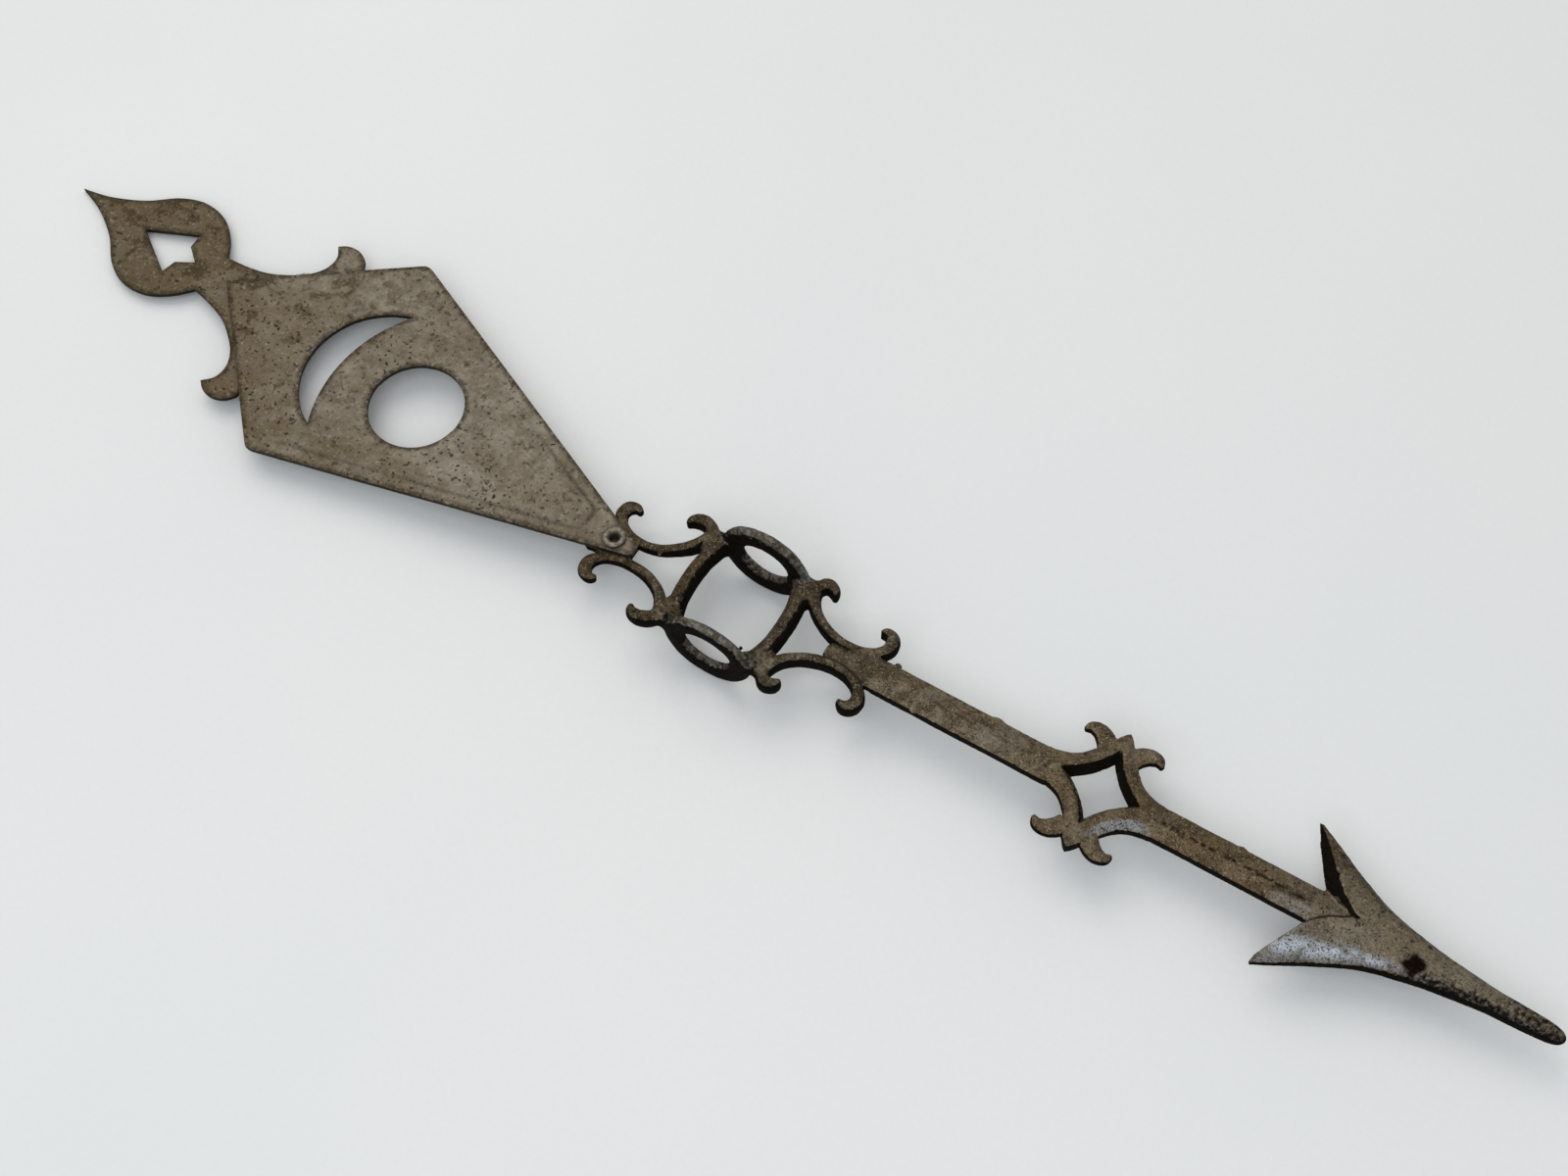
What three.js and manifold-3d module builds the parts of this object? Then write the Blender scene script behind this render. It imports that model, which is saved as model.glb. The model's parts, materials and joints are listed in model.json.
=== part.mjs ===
// Lightning-rod arrow: a cast arrow that threads onto a vertical rod through two rings, with a
// flat kite-shaped tail plate and a flame finial.
// Millimetres. +X runs along the arrow to its tip, +Y across it, +Z up from the table it lies on.
// The arrow is drawn about the centre of its rod cage and then laid down at its resting pitch.

import * as THREE from 'three';
import { mergeVertices } from 'three/addons/utils/BufferGeometryUtils.js';
import Module from 'manifold-3d';

const wasm = await Module();
wasm.setup();

// Rod cage: a rounded frame with a ring at each side. The rod runs through both rings along Y.
const RING_RADIUS = 17.2;
const RING_BORE_RADIUS = 8.8;
const RING_INNER_Y = 17.6;
const RING_OUTER_Y = 21.2;
const RING_EDGE = 1.4;
const RING_RIM_ROUND = 3;
const CAGE_HALF_LENGTH = 21.3;
const CAGE_HALF_HEIGHT = 3.9;

// Arrow body: scrolls of full thickness, and a shaft with a low ridge on top and a flat back
const BODY_TOP = 3.75;
const BODY_BACK = -1.2;
const WEB_BACK = -0.9;
const DIAMOND_BACK = -1.5;
const HEAD_BACK = -1.4;
const SCROLL_TOP = 3.5;
const SCROLL_BACK = -3.75;
const SHAFT_HALF_WIDTH = 6;
const SHAFT_EDGE_TOP = 2.4;
const WEB_TOP = 1.4;
const WEB_START_X = 34.5;
const WEB_START_HALF_WIDTH = 2.2;
const SHAFT_START_X = 46;
const BAR_CHAMFER = 0.9;

// Diamond ornament on the shaft
const DIAMOND_X = 136.8;
const DIAMOND_TIP_Y = 22.6;
const DIAMOND_FOOT_X = 22.3;
const OPENING_HALF_LENGTH = 15;
const OPENING_HALF_WIDTH = 15.5;
const OPENING_SAG = 2;
const OPENING_DRAFT = 0.8;
const DIAMOND_HOOK_TOP = 2.9;

// Arrowhead
const HEAD_TIP_X = 300.4;
const BARB_TIP_X = 203.5;
const BARB_TIP_Y = 28;
const SHAFT_END_X = 232;
const HEAD_RIM = 0.8;
const HEAD_CROWN = 5;

// Tail: two plates lapped and soldered, riveted to a tongue behind the cage
const RIVET_X = -49.1;
const TAIL_TOP_Z = 0.4;
const TAIL_YAW = THREE.MathUtils.degToRad(-7.37);
const TAIL_DROOP = THREE.MathUtils.degToRad(3.77);
const PLATE_THICKNESS = 1.9;
const FIELD_RELIEF = 0.4;
const FIELD_BORDER = 4.5;
const LAP_GAP = 0.3;

const KITE_NOSE = [9, 2.3];
const KITE_SHOULDER = [-129.4, 48.8];
const KITE_HEEL_X = -185.8;
const ROUND_HOLE_X = -91.8;
const ROUND_HOLE_RADIUS = 17.3;
const MOON_OUTER_X = -108.4;
const MOON_OUTER_RADIUS = 29.75;
const MOON_INNER_X = -72.1;
const MOON_INNER_RADIUS = 54.2;
const FINIAL_TIP_X = -261.6;
const FINIAL_LAP_X = -149;

// Tongue and rivet
const TONGUE_HALF_WIDTH = 6.2;
const TONGUE_THICKNESS = 3.2;
const TONGUE_FRONT = 8;
const TONGUE_BACK = -11;
const RIVET_HEAD_RADIUS = 4.1;
const RIVET_HEAD_HEIGHT = 0.9;
const RIVET_SHANK_RADIUS = 2.7;
const RIVET_HOLLOW_RADIUS = 1.7;
const RIVET_FOOT_RADIUS = 3.9;
const WASHER_RADIUS = 5.2;
const WASHER_THICKNESS = 0.9;

const FACETS_RING = 48;
const FACETS_RIVET = 32;

const castIron = { color: 0x6f675c, roughness: 0.62, metalness: 0.75 };
const plateIron = { color: 0x7c756a, roughness: 0.58, metalness: 0.75 };
const rivetMetal = { color: 0x8a8680, roughness: 0.45, metalness: 0.85 };
const solderMetal = { color: 0xa3a6a8, roughness: 0.35, metalness: 0.9 };

// ---------------------------------------------------------------------------------------------
// Solids

// A solid that can be joined and cut, from any closed geometry.
function solidFrom(geometry) {
  const bare = geometry.clone();
  bare.deleteAttribute('normal');
  bare.deleteAttribute('uv');
  const merged = mergeVertices(bare, 1e-4);
  const index = merged.index.array;
  return new wasm.Manifold(new wasm.Mesh({
    numProp: 3,
    vertProperties: new Float32Array(merged.attributes.position.array),
    triVerts: new Uint32Array(index),
  }));
}

function geometryFrom(solid) {
  const mesh = solid.getMesh();
  const geometry = new THREE.BufferGeometry();
  geometry.setAttribute('position', new THREE.BufferAttribute(mesh.vertProperties, 3));
  geometry.setIndex(new THREE.BufferAttribute(mesh.triVerts, 1));
  geometry.computeVertexNormals();
  return geometry;
}

function join(solids) {
  return solids.reduce((whole, next) => whole.add(next));
}

function cut(solid, tools) {
  return tools.reduce((rest, tool) => rest.subtract(tool), solid);
}

// A plan outline raised from one height to another, with an optional chamfer on both faces.
function slab(shape, bottom, top, chamfer = 0, curveSegments = 8) {
  const geometry = new THREE.ExtrudeGeometry(shape, {
    depth: top - bottom - 2 * chamfer,
    bevelEnabled: chamfer > 0,
    bevelThickness: chamfer,
    bevelSize: chamfer,
    bevelOffset: -chamfer,
    bevelSegments: 1,
    curveSegments,
  });
  geometry.translate(0, 0, bottom + chamfer);
  return geometry;
}

// A skin over closed sections of equal point count, with both ends capped.
function loft(sections) {
  const count = sections[0].length;
  const positions = sections.flat().flatMap((point) => point.toArray());
  const faces = [];
  for (let row = 0; row < sections.length - 1; row += 1) {
    for (let i = 0; i < count; i += 1) {
      const a = row * count + i;
      const b = row * count + (i + 1) % count;
      faces.push(a, b, b + count, a, b + count, a + count);
    }
  }
  const last = (sections.length - 1) * count;
  for (let i = 1; i < count - 1; i += 1) {
    faces.push(0, i + 1, i);
    faces.push(last, last + i, last + i + 1);
  }
  const geometry = new THREE.BufferGeometry();
  geometry.setAttribute('position', new THREE.Float32BufferAttribute(positions, 3));
  geometry.setIndex(faces);
  return geometry;
}

// A bar swept along a plan curve. Each station is [x, y, half width]; heights(x) gives its
// underside and its top there.
function sweptBar(stations, steps, heights, chamfer = BAR_CHAMFER) {
  const points = stations.map((station) => new THREE.Vector3(...station));
  const spine = new THREE.CatmullRomCurve3(points, false, 'centripetal');
  const sections = [];
  for (let i = 0; i <= steps; i += 1) {
    const here = spine.getPoint(i / steps);
    const along = spine.getTangent(i / steps);
    along.z = 0;
    along.normalize();
    const half = here.z;
    const inner = half - Math.min(chamfer, half * 0.45);
    const [bottom, top] = heights(here.x);
    const corners = [
      [half, top - chamfer], [inner, top], [-inner, top], [-half, top - chamfer],
      [-half, bottom + chamfer], [-inner, bottom], [inner, bottom], [half, bottom + chamfer],
    ];
    sections.push(corners.map(([side, z]) => new THREE.Vector3(
      here.x - along.y * side,
      here.y + along.x * side,
      z,
    )));
  }
  return loft(sections);
}

function mirrorY(points) {
  return points.map(([x, y, ...rest]) => [x, -y, ...rest]);
}

// A closed outline symmetric about the X axis, from the points of its upper half.
function symmetricShape(upperPoints) {
  const lower = mirrorY(upperPoints).reverse().filter(([, y]) => y !== 0);
  return new THREE.Shape([...upperPoints, ...lower].map(([x, y]) => new THREE.Vector2(x, y)));
}

function smoothRun(points, steps) {
  const curve = new THREE.SplineCurve(points.map(([x, y]) => new THREE.Vector2(x, y)));
  return curve.getPoints(steps).map((point) => [point.x, point.y]);
}

// ---------------------------------------------------------------------------------------------
// Rod cage

// A quarter of the frame's outer edge and of its inner edge: the bars bow outwards and sweep into
// the rings.
const CAGE_OUTER = [[CAGE_HALF_LENGTH, 0], [21.3, 6], [21, 11], [20, 15], [17.8, 19], [13.5, 20.8]];
const CAGE_INNER = [[15.8, 0], [15.3, 5], [14.5, 9.5], [12.8, 13], [9.6, 15.8], [4, 17.6]];
const CAGE_CHAMFER = 1.4;

// A closed outline symmetric about both axes, from the points of one quarter.
function fourfoldShape(quarter) {
  const edge = smoothRun(quarter, 10);
  return symmetricShape([...edge, ...edge.map(([x, y]) => [-x, y]).reverse()]);
}

// A ring about the Y axis with rounded rims, rounder where it faces the cage.
function rodRing(side) {
  const e = RING_EDGE;
  const profile = [
    [RING_BORE_RADIUS, RING_INNER_Y + e], [RING_BORE_RADIUS + e, RING_INNER_Y],
    [RING_RADIUS - RING_RIM_ROUND, RING_INNER_Y], [RING_RADIUS - e * 0.5, RING_INNER_Y + e * 0.7],
    [RING_RADIUS, RING_INNER_Y + e * 1.5],
    [RING_RADIUS, RING_OUTER_Y - e * 0.8], [RING_RADIUS - e * 0.8, RING_OUTER_Y],
    [RING_BORE_RADIUS + e, RING_OUTER_Y], [RING_BORE_RADIUS, RING_OUTER_Y - e],
    [RING_BORE_RADIUS, RING_INNER_Y + e],
  ];
  const geometry = new THREE.LatheGeometry(
    profile.map(([radius, y]) => new THREE.Vector2(radius, y)),
    FACETS_RING,
  );
  if (side < 0) geometry.rotateX(Math.PI);
  return solidFrom(geometry);
}

function rodCage() {
  const frame = fourfoldShape(CAGE_OUTER);
  frame.holes.push(fourfoldShape(CAGE_INNER));
  const frameSolid = solidFrom(slab(frame, -CAGE_HALF_HEIGHT, CAGE_HALF_HEIGHT, CAGE_CHAMFER));
  return join([frameSolid, rodRing(1), rodRing(-1)]);
}

function rodBore() {
  const bore = new THREE.CylinderGeometry(
    RING_BORE_RADIUS,
    RING_BORE_RADIUS,
    2 * RING_OUTER_Y + 4,
    FACETS_RING,
  );
  return solidFrom(bore);
}

// ---------------------------------------------------------------------------------------------
// Scrolls: one C-scroll on each side, in front of the cage and behind it

// Stations of the front upper scroll, from the hook beside the cage to the hook on the shaft.
// reach carries the cage hook further from the cage.
function scrollStations(reach) {
  return [
    [27.4 + reach, 18.6, 0.5], [26.2 + reach, 20.4, 1.5], [23.4 + reach * 0.7, 21.2, 2.2],
    [21.2, 18.8, 2.4], [21.4, 15.4, 2.4], [24.2, 11, 2.1], [28.6, 7.7, 1.9],
    [34, 5.3, 1.9], [40, 4.4, 1.8], [46, 5, 1.9], [50.7, 7.4, 2.1],
    [53, 11, 2.4], [52.2, 14.2, 2.3], [49.8, 15.4, 1.4], [47.5, 14.7, 0.5],
  ];
}

const SCROLL_STEPS = 34;
const REAR_SCROLL_TOP = -1.8;
const REAR_SCROLL_BACK = -4.9;

function frontHeights() {
  return [SCROLL_BACK, SCROLL_TOP];
}

// The rear scrolls sink from the cage to the underside of the tail plate.
function rearHeights(x) {
  const sink = THREE.MathUtils.smoothstep(-x, CAGE_HALF_LENGTH, -RIVET_X - 8);
  return [
    THREE.MathUtils.lerp(SCROLL_BACK, REAR_SCROLL_BACK, sink),
    THREE.MathUtils.lerp(SCROLL_TOP, REAR_SCROLL_TOP, sink),
  ];
}

function scrolls() {
  const front = scrollStations(0);
  const rear = scrollStations(3.4).map(([x, y, half]) => [-x, y, half]).reverse();
  return [
    sweptBar(front, SCROLL_STEPS, frontHeights),
    sweptBar(mirrorY(front), SCROLL_STEPS, frontHeights),
    sweptBar(rear, SCROLL_STEPS, rearHeights),
    sweptBar(mirrorY(rear), SCROLL_STEPS, rearHeights),
  ].map(solidFrom);
}

// The thin web that fills the fork between the front scrolls and runs into the shaft.
function frontWeb() {
  const outline = symmetricShape([
    [WEB_START_X, WEB_START_HALF_WIDTH], [40, 4.2], [47, 5.2], [56, SHAFT_HALF_WIDTH],
  ]);
  return solidFrom(slab(outline, WEB_BACK, WEB_TOP));
}

// ---------------------------------------------------------------------------------------------
// Shaft and diamond ornament

// A length of shaft with a low ridge along its top.
function shaft(startX, endX) {
  const section = [
    [SHAFT_HALF_WIDTH, BODY_BACK], [SHAFT_HALF_WIDTH, SHAFT_EDGE_TOP], [0, BODY_TOP],
    [-SHAFT_HALF_WIDTH, SHAFT_EDGE_TOP], [-SHAFT_HALF_WIDTH, BODY_BACK],
  ];
  const ends = [startX, endX].map((x) => section.map(([y, z]) => new THREE.Vector3(x, y, z)));
  return solidFrom(loft(ends));
}

// The outer edge sweeps from a pointed side corner into the shaft.
function diamondOutline() {
  const flank = smoothRun([
    [1, DIAMOND_TIP_Y], [4.6, 17.6], [9, 11.9], [12.2, 8.9], [17, 6.9],
    [DIAMOND_FOOT_X, SHAFT_HALF_WIDTH],
  ], 12);
  const behind = flank.map(([x, y]) => [-x, y]).reverse();
  return symmetricShape([...behind, ...flank]);
}

// A four-cornered opening whose sides bow inwards.
function diamondOpening(halfLength, halfWidth) {
  const shape = new THREE.Shape();
  const pull = 2 * OPENING_SAG * Math.SQRT1_2;
  const corners = [[halfLength, 0], [0, halfWidth], [-halfLength, 0], [0, -halfWidth]];
  shape.moveTo(...corners[0]);
  corners.forEach(([x, y], i) => {
    const [nextX, nextY] = corners[(i + 1) % 4];
    const middleX = (x + nextX) / 2;
    const middleY = (y + nextY) / 2;
    shape.quadraticCurveTo(
      middleX - Math.sign(middleX) * pull,
      middleY - Math.sign(middleY) * pull,
      nextX,
      nextY,
    );
  });
  return shape;
}

// A short hook that springs from the diamond's flank and curls back along the arrow.
function diamondHook(signX, signY) {
  const stations = [
    [4.2, 15.4, 3.2], [6.6, 18.2, 2.9], [9.4, 19.8, 2.3], [12.1, 19.6, 1.8], [14.1, 17.9, 0.5],
  ].map(([x, y, half]) => [DIAMOND_X + signX * x, signY * y, half]);
  const heights = () => [WEB_BACK, DIAMOND_HOOK_TOP];
  return solidFrom(sweptBar(stations, 10, heights, 0.7));
}

function diamond() {
  const block = slab(diamondOutline(), DIAMOND_BACK, BODY_TOP, 0.8);
  const window = slab(
    diamondOpening(OPENING_HALF_LENGTH - OPENING_DRAFT, OPENING_HALF_WIDTH - OPENING_DRAFT),
    BODY_BACK - 1,
    BODY_TOP + 1,
  );
  const solids = [block, window].map((geometry) => {
    geometry.translate(DIAMOND_X, 0, 0);
    return solidFrom(geometry);
  });
  const hooks = [];
  for (const signX of [1, -1]) {
    for (const signY of [1, -1]) hooks.push(diamondHook(signX, signY));
  }
  return { solid: join([solids[0], ...hooks]), window: solids[1] };
}

// ---------------------------------------------------------------------------------------------
// Arrowhead

// Half width, crown height and back height along the head, from behind the barbs to the blunt
// tip. The back is flat under the barbs and rounds under towards the tip.
const HEAD_STATIONS = [
  [199, 30.6, 2.6, HEAD_BACK], [BARB_TIP_X, BARB_TIP_Y, 3.2, HEAD_BACK],
  [209, 25.2, 4.2, HEAD_BACK], [215, 21.9, 4.8, HEAD_BACK], [221, 18.5, HEAD_CROWN, HEAD_BACK],
  [227, 15.5, HEAD_CROWN, HEAD_BACK], [233, 12.6, 4.9, HEAD_BACK], [239, 10.5, 4.8, HEAD_BACK],
  [249.7, 7.9, 4.5, -1.6], [261.5, 5.9, 4.2, -2], [274.5, 4.3, 3.7, -2.6],
  [288, 3.6, 3.2, -2.8], [296, 3, 2.6, -2.5], [299.2, 1.9, 1.7, -1.7],
  [HEAD_TIP_X, 0.6, 0.6, -0.6],
];
const HEAD_CROWN_POINTS = 10;
const HEAD_BACK_POINTS = 4;

// The domed section at x: over the crown from rim to rim, then back across the underside.
function headSection(x, halfWidth, crown, back) {
  const rimTop = Math.min(HEAD_RIM, crown * 0.5);
  const rimBack = Math.max(-HEAD_RIM, back * 0.5);
  const points = [];
  for (let i = 0; i <= HEAD_CROWN_POINTS; i += 1) {
    const angle = Math.PI * (i / HEAD_CROWN_POINTS);
    points.push([halfWidth * Math.cos(angle), rimTop + (crown - rimTop) * Math.sin(angle)]);
  }
  for (let i = 0; i <= HEAD_BACK_POINTS; i += 1) {
    const angle = Math.PI * (1 + i / HEAD_BACK_POINTS);
    points.push([halfWidth * Math.cos(angle), rimBack + (rimBack - back) * Math.sin(angle)]);
  }
  return points.map(([y, z]) => new THREE.Vector3(x, y, z));
}

// The notch behind the head opens from the shaft to the barb tips. Its walls lean forwards, from
// the line they follow at the back face to the line they follow at the crown.
const NOTCH_AT_BACK = [
  [220, 0], [217, 4.2], [214.2, 8.7], [211.2, 13.4], [207, 20], [203.5, 26.6], [199.6, 34],
];
const NOTCH_AT_CROWN = [
  [231, 0], [226, 3.3], [219.9, 8.8], [216.3, 13.3], [211.7, 20.3], [207.5, 26.6], [203, 34],
];
const NOTCH_REAR_X = 196;
const NOTCH_MARGIN = 1;

function notch() {
  const sections = [HEAD_BACK - NOTCH_MARGIN, HEAD_CROWN + NOTCH_MARGIN].map((z) => {
    const lean = (z - HEAD_BACK) / (HEAD_CROWN - HEAD_BACK);
    const wall = NOTCH_AT_BACK.map(([x, y], i) => [
      THREE.MathUtils.lerp(x, NOTCH_AT_CROWN[i][0], lean),
      THREE.MathUtils.lerp(y, NOTCH_AT_CROWN[i][1], lean),
    ]);
    const reach = wall[wall.length - 1][1];
    const outline = [
      [NOTCH_REAR_X, 0], [NOTCH_REAR_X, -reach],
      ...mirrorY(wall).reverse(), ...wall.slice(1), [NOTCH_REAR_X, reach],
    ];
    return outline.map(([x, y]) => new THREE.Vector3(x, y, z));
  });
  return solidFrom(loft(sections));
}

function arrowhead() {
  const dome = solidFrom(loft(HEAD_STATIONS.map((station) => headSection(...station))));
  return dome.subtract(notch());
}

// ---------------------------------------------------------------------------------------------
// Tail, drawn from the rivet with its top face at height 0

// Half width of the kite along its two straight edges.
function kiteHalfWidth(x) {
  const [noseX, noseY] = KITE_NOSE;
  const [shoulderX, shoulderY] = KITE_SHOULDER;
  if (x > shoulderX) return noseY + (shoulderY - noseY) * ((noseX - x) / (noseX - shoulderX));
  return shoulderY * ((x - KITE_HEEL_X) / (shoulderX - KITE_HEEL_X));
}

function kiteOutline() {
  const [shoulderX, shoulderY] = KITE_SHOULDER;
  const blunt = 2.4;
  return symmetricShape([
    [KITE_HEEL_X, 0], [shoulderX - blunt, kiteHalfWidth(shoulderX - blunt)],
    [shoulderX, shoulderY - 0.6], [shoulderX + blunt, kiteHalfWidth(shoulderX + blunt)],
    KITE_NOSE,
  ]);
}

// The raised field follows the edges at the width of the border.
function fieldOutline() {
  const frontX = -12;
  const slopeFront = FIELD_BORDER * 1.06;
  const slopeBack = FIELD_BORDER * 1.32;
  const [shoulderX] = KITE_SHOULDER;
  const heelX = KITE_HEEL_X + FIELD_BORDER * 1.53;
  return symmetricShape([
    [heelX, 0], [shoulderX, kiteHalfWidth(shoulderX) - slopeBack],
    [frontX - 2, kiteHalfWidth(frontX - 2) - slopeFront], [frontX, 2.6],
  ]);
}

function roundHole() {
  const hole = new THREE.Shape();
  hole.absarc(ROUND_HOLE_X, 0, ROUND_HOLE_RADIUS, 0, 2 * Math.PI);
  return hole;
}

// A crescent between two arcs that meet at its horns.
function crescent() {
  const spread = MOON_INNER_X - MOON_OUTER_X;
  const along = (MOON_OUTER_RADIUS ** 2 - MOON_INNER_RADIUS ** 2 + spread ** 2) / (2 * spread);
  const hornX = MOON_OUTER_X + along;
  const hornY = Math.sqrt(MOON_OUTER_RADIUS ** 2 - along ** 2);
  const outerAngle = Math.atan2(hornY, hornX - MOON_OUTER_X);
  const innerAngle = Math.atan2(hornY, hornX - MOON_INNER_X);
  const shape = new THREE.Shape();
  shape.absarc(MOON_OUTER_X, 0, MOON_OUTER_RADIUS, outerAngle, 2 * Math.PI - outerAngle);
  shape.absarc(MOON_INNER_X, 0, MOON_INNER_RADIUS, 2 * Math.PI - innerAngle, innerAngle, true);
  return shape;
}

function rivetHole(radius, bottom, top) {
  const hole = new THREE.CylinderGeometry(radius, radius, top - bottom, FACETS_RIVET);
  hole.rotateX(Math.PI / 2);
  hole.translate(0, 0, (top + bottom) / 2);
  return solidFrom(hole);
}

function kitePlate() {
  const sheet = solidFrom(slab(kiteOutline(), -PLATE_THICKNESS, 0));
  const relief = solidFrom(slab(fieldOutline(), -0.5, FIELD_RELIEF));
  const hollow = solidFrom(slab(
    fieldOutline(),
    -PLATE_THICKNESS - 1,
    FIELD_RELIEF - PLATE_THICKNESS,
  ));
  const holes = [roundHole(), crescent()].map((shape) => solidFrom(slab(shape, -5, 5, 0, 24)));
  const rivet = rivetHole(RIVET_SHANK_RADIUS + 0.3, -5, 5);
  return cut(sheet.add(relief), [hollow, ...holes, rivet]);
}

// Flame, neck and one scroll of the finial, then the straight edge hidden under the kite.
function finialOutline() {
  const flame = smoothRun([
    [FINIAL_TIP_X, 0], [-250.6, 3.2], [-238, 10], [-228, 18.5], [-219, 22.2],
    [-208, 21.2], [-199.5, 15.5], [-194, 8.8],
  ], 22);
  const scroll = smoothRun([
    [-194, 8.8], [-186, 10], [-177.5, 12.3], [-170, 16.5], [-164, 21.5], [-160.9, 27],
    [-161, 32.4], [-164.2, 36.6],
  ], 18).slice(1);
  const curl = smoothRun([
    [-164.2, 36.6], [-161, 38.9], [-156, 39.5], [-151.4, 37.4], [FINIAL_LAP_X, 34],
  ], 8).slice(1);
  return symmetricShape([...flame, ...scroll, ...curl]);
}

// A barbed star: one long point to the rear and a short one to the front, between two wings.
function starWindow() {
  return symmetricShape([[-228.5, 0], [-210, 10], [-209.1, 4.2], [-202.9, 0]]);
}

function finialPlate() {
  const top = -PLATE_THICKNESS - LAP_GAP;
  const sheet = solidFrom(slab(finialOutline(), top - PLATE_THICKNESS, top));
  const window = solidFrom(slab(starWindow(), top - 5, top + 5));
  return sheet.subtract(window);
}

// A bead of solder in the corner between the kite's rear edge and the finial scroll.
function solderSpot() {
  const centreX = -165.2;
  const away = 0.95;
  const centreY = kiteHalfWidth(centreX) + away;
  const slope = Math.atan2(KITE_SHOULDER[1], KITE_SHOULDER[0] - KITE_HEEL_X);
  const bead = new THREE.SphereGeometry(1, 16, 10);
  bead.scale(3, 0.55, 0.6);
  bead.rotateZ(slope);
  bead.translate(centreX, centreY, -PLATE_THICKNESS + 0.7);
  return solidFrom(bead);
}

// ---------------------------------------------------------------------------------------------
// Tongue, rivet and washer, drawn in the tail's frame

const TONGUE_TOP = -PLATE_THICKNESS - LAP_GAP;
const TONGUE_BOTTOM = TONGUE_TOP - TONGUE_THICKNESS;

function tongueBlank() {
  const outline = symmetricShape([
    [TONGUE_BACK, TONGUE_HALF_WIDTH - 2.5], [TONGUE_BACK + 3, TONGUE_HALF_WIDTH],
    [TONGUE_FRONT - 3, TONGUE_HALF_WIDTH - 1], [TONGUE_FRONT, TONGUE_HALF_WIDTH - 2.6],
  ]);
  return slab(outline, TONGUE_BOTTOM, TONGUE_TOP, 0.4);
}

// A hollow rivet: flat head above the plate, shank through both, foot spread under the washer.
function tailRivet() {
  const seat = LAP_GAP;
  const foot = TONGUE_BOTTOM - WASHER_THICKNESS - 2 * LAP_GAP;
  const profile = [
    [RIVET_HOLLOW_RADIUS, foot - 1], [RIVET_FOOT_RADIUS - 0.4, foot - 0.8],
    [RIVET_FOOT_RADIUS, foot], [RIVET_SHANK_RADIUS, foot],
    [RIVET_SHANK_RADIUS, seat], [RIVET_HEAD_RADIUS, seat],
    [RIVET_HEAD_RADIUS, seat + 0.4], [RIVET_HEAD_RADIUS - 0.7, seat + RIVET_HEAD_HEIGHT],
    [RIVET_HOLLOW_RADIUS + 0.8, seat + RIVET_HEAD_HEIGHT - 0.1],
    [RIVET_HOLLOW_RADIUS, seat + 0.1], [RIVET_HOLLOW_RADIUS, foot - 1],
  ];
  const geometry = new THREE.LatheGeometry(
    profile.map(([radius, z]) => new THREE.Vector2(radius, z)),
    FACETS_RIVET,
  );
  geometry.rotateX(Math.PI / 2);
  return solidFrom(geometry);
}

function rivetWasher() {
  const top = TONGUE_BOTTOM - LAP_GAP;
  const bottom = top - WASHER_THICKNESS;
  const profile = [
    [RIVET_SHANK_RADIUS + 0.3, bottom], [WASHER_RADIUS, bottom],
    [WASHER_RADIUS, top], [RIVET_SHANK_RADIUS + 0.3, top], [RIVET_SHANK_RADIUS + 0.3, bottom],
  ];
  const geometry = new THREE.LatheGeometry(
    profile.map(([radius, z]) => new THREE.Vector2(radius, z)),
    FACETS_RIVET,
  );
  geometry.rotateX(Math.PI / 2);
  return solidFrom(geometry);
}

// ---------------------------------------------------------------------------------------------
// Assembly

function part(name, solid, finish) {
  const mesh = new THREE.Mesh(geometryFrom(solid), new THREE.MeshStandardMaterial(finish));
  mesh.name = name;
  return mesh;
}

// The tail's place on the arrow: at the rivet, drooping and turned a little about it.
const tailPlace = new THREE.Matrix4()
  .makeTranslation(RIVET_X, 0, TAIL_TOP_Z)
  .multiply(new THREE.Matrix4().makeRotationY(-TAIL_DROOP))
  .multiply(new THREE.Matrix4().makeRotationZ(TAIL_YAW));

// The tongue shares the droop but lies straight behind the cage.
const tonguePlace = new THREE.Matrix4()
  .makeTranslation(RIVET_X, 0, TAIL_TOP_Z)
  .multiply(new THREE.Matrix4().makeRotationY(-TAIL_DROOP));

function arrowCasting() {
  const tongue = tongueBlank().applyMatrix4(tonguePlace);
  const ornament = diamond();
  const body = join([
    rodCage(),
    ...scrolls(),
    frontWeb(),
    shaft(SHAFT_START_X, DIAMOND_X - 17),
    shaft(DIAMOND_X + 17, SHAFT_END_X),
    ornament.solid,
    arrowhead(),
    solidFrom(tongue),
  ]);
  const shankHole = geometryFrom(rivetHole(RIVET_SHANK_RADIUS + 0.3, -20, 5));
  return cut(body, [
    rodBore(),
    ornament.window,
    solidFrom(shankHole.applyMatrix4(tonguePlace)),
  ]);
}

const tail = new THREE.Group();
tail.add(
  part('kite_plate', kitePlate(), plateIron),
  part('finial_plate', finialPlate(), plateIron),
  part('tail_rivet', tailRivet(), rivetMetal),
  part('rivet_washer', rivetWasher(), rivetMetal),
  part('solder_spot', solderSpot(), solderMetal),
);
tail.applyMatrix4(tailPlace);

const arrow = new THREE.Group();
arrow.add(part('arrow_casting', arrowCasting(), castIron), tail);

// At rest the arrow stands on the rims of both rings and on the tip of the finial.
const finialTip = new THREE.Vector3(
  FINIAL_TIP_X,
  0,
  -2 * PLATE_THICKNESS - LAP_GAP,
).applyMatrix4(tailPlace);
const tipDistance = Math.hypot(finialTip.x, finialTip.z);
const restPitch = Math.asin(RING_RADIUS / tipDistance) - Math.atan2(-finialTip.z, -finialTip.x);
arrow.rotation.y = -restPitch;
arrow.updateMatrixWorld(true);

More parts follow.
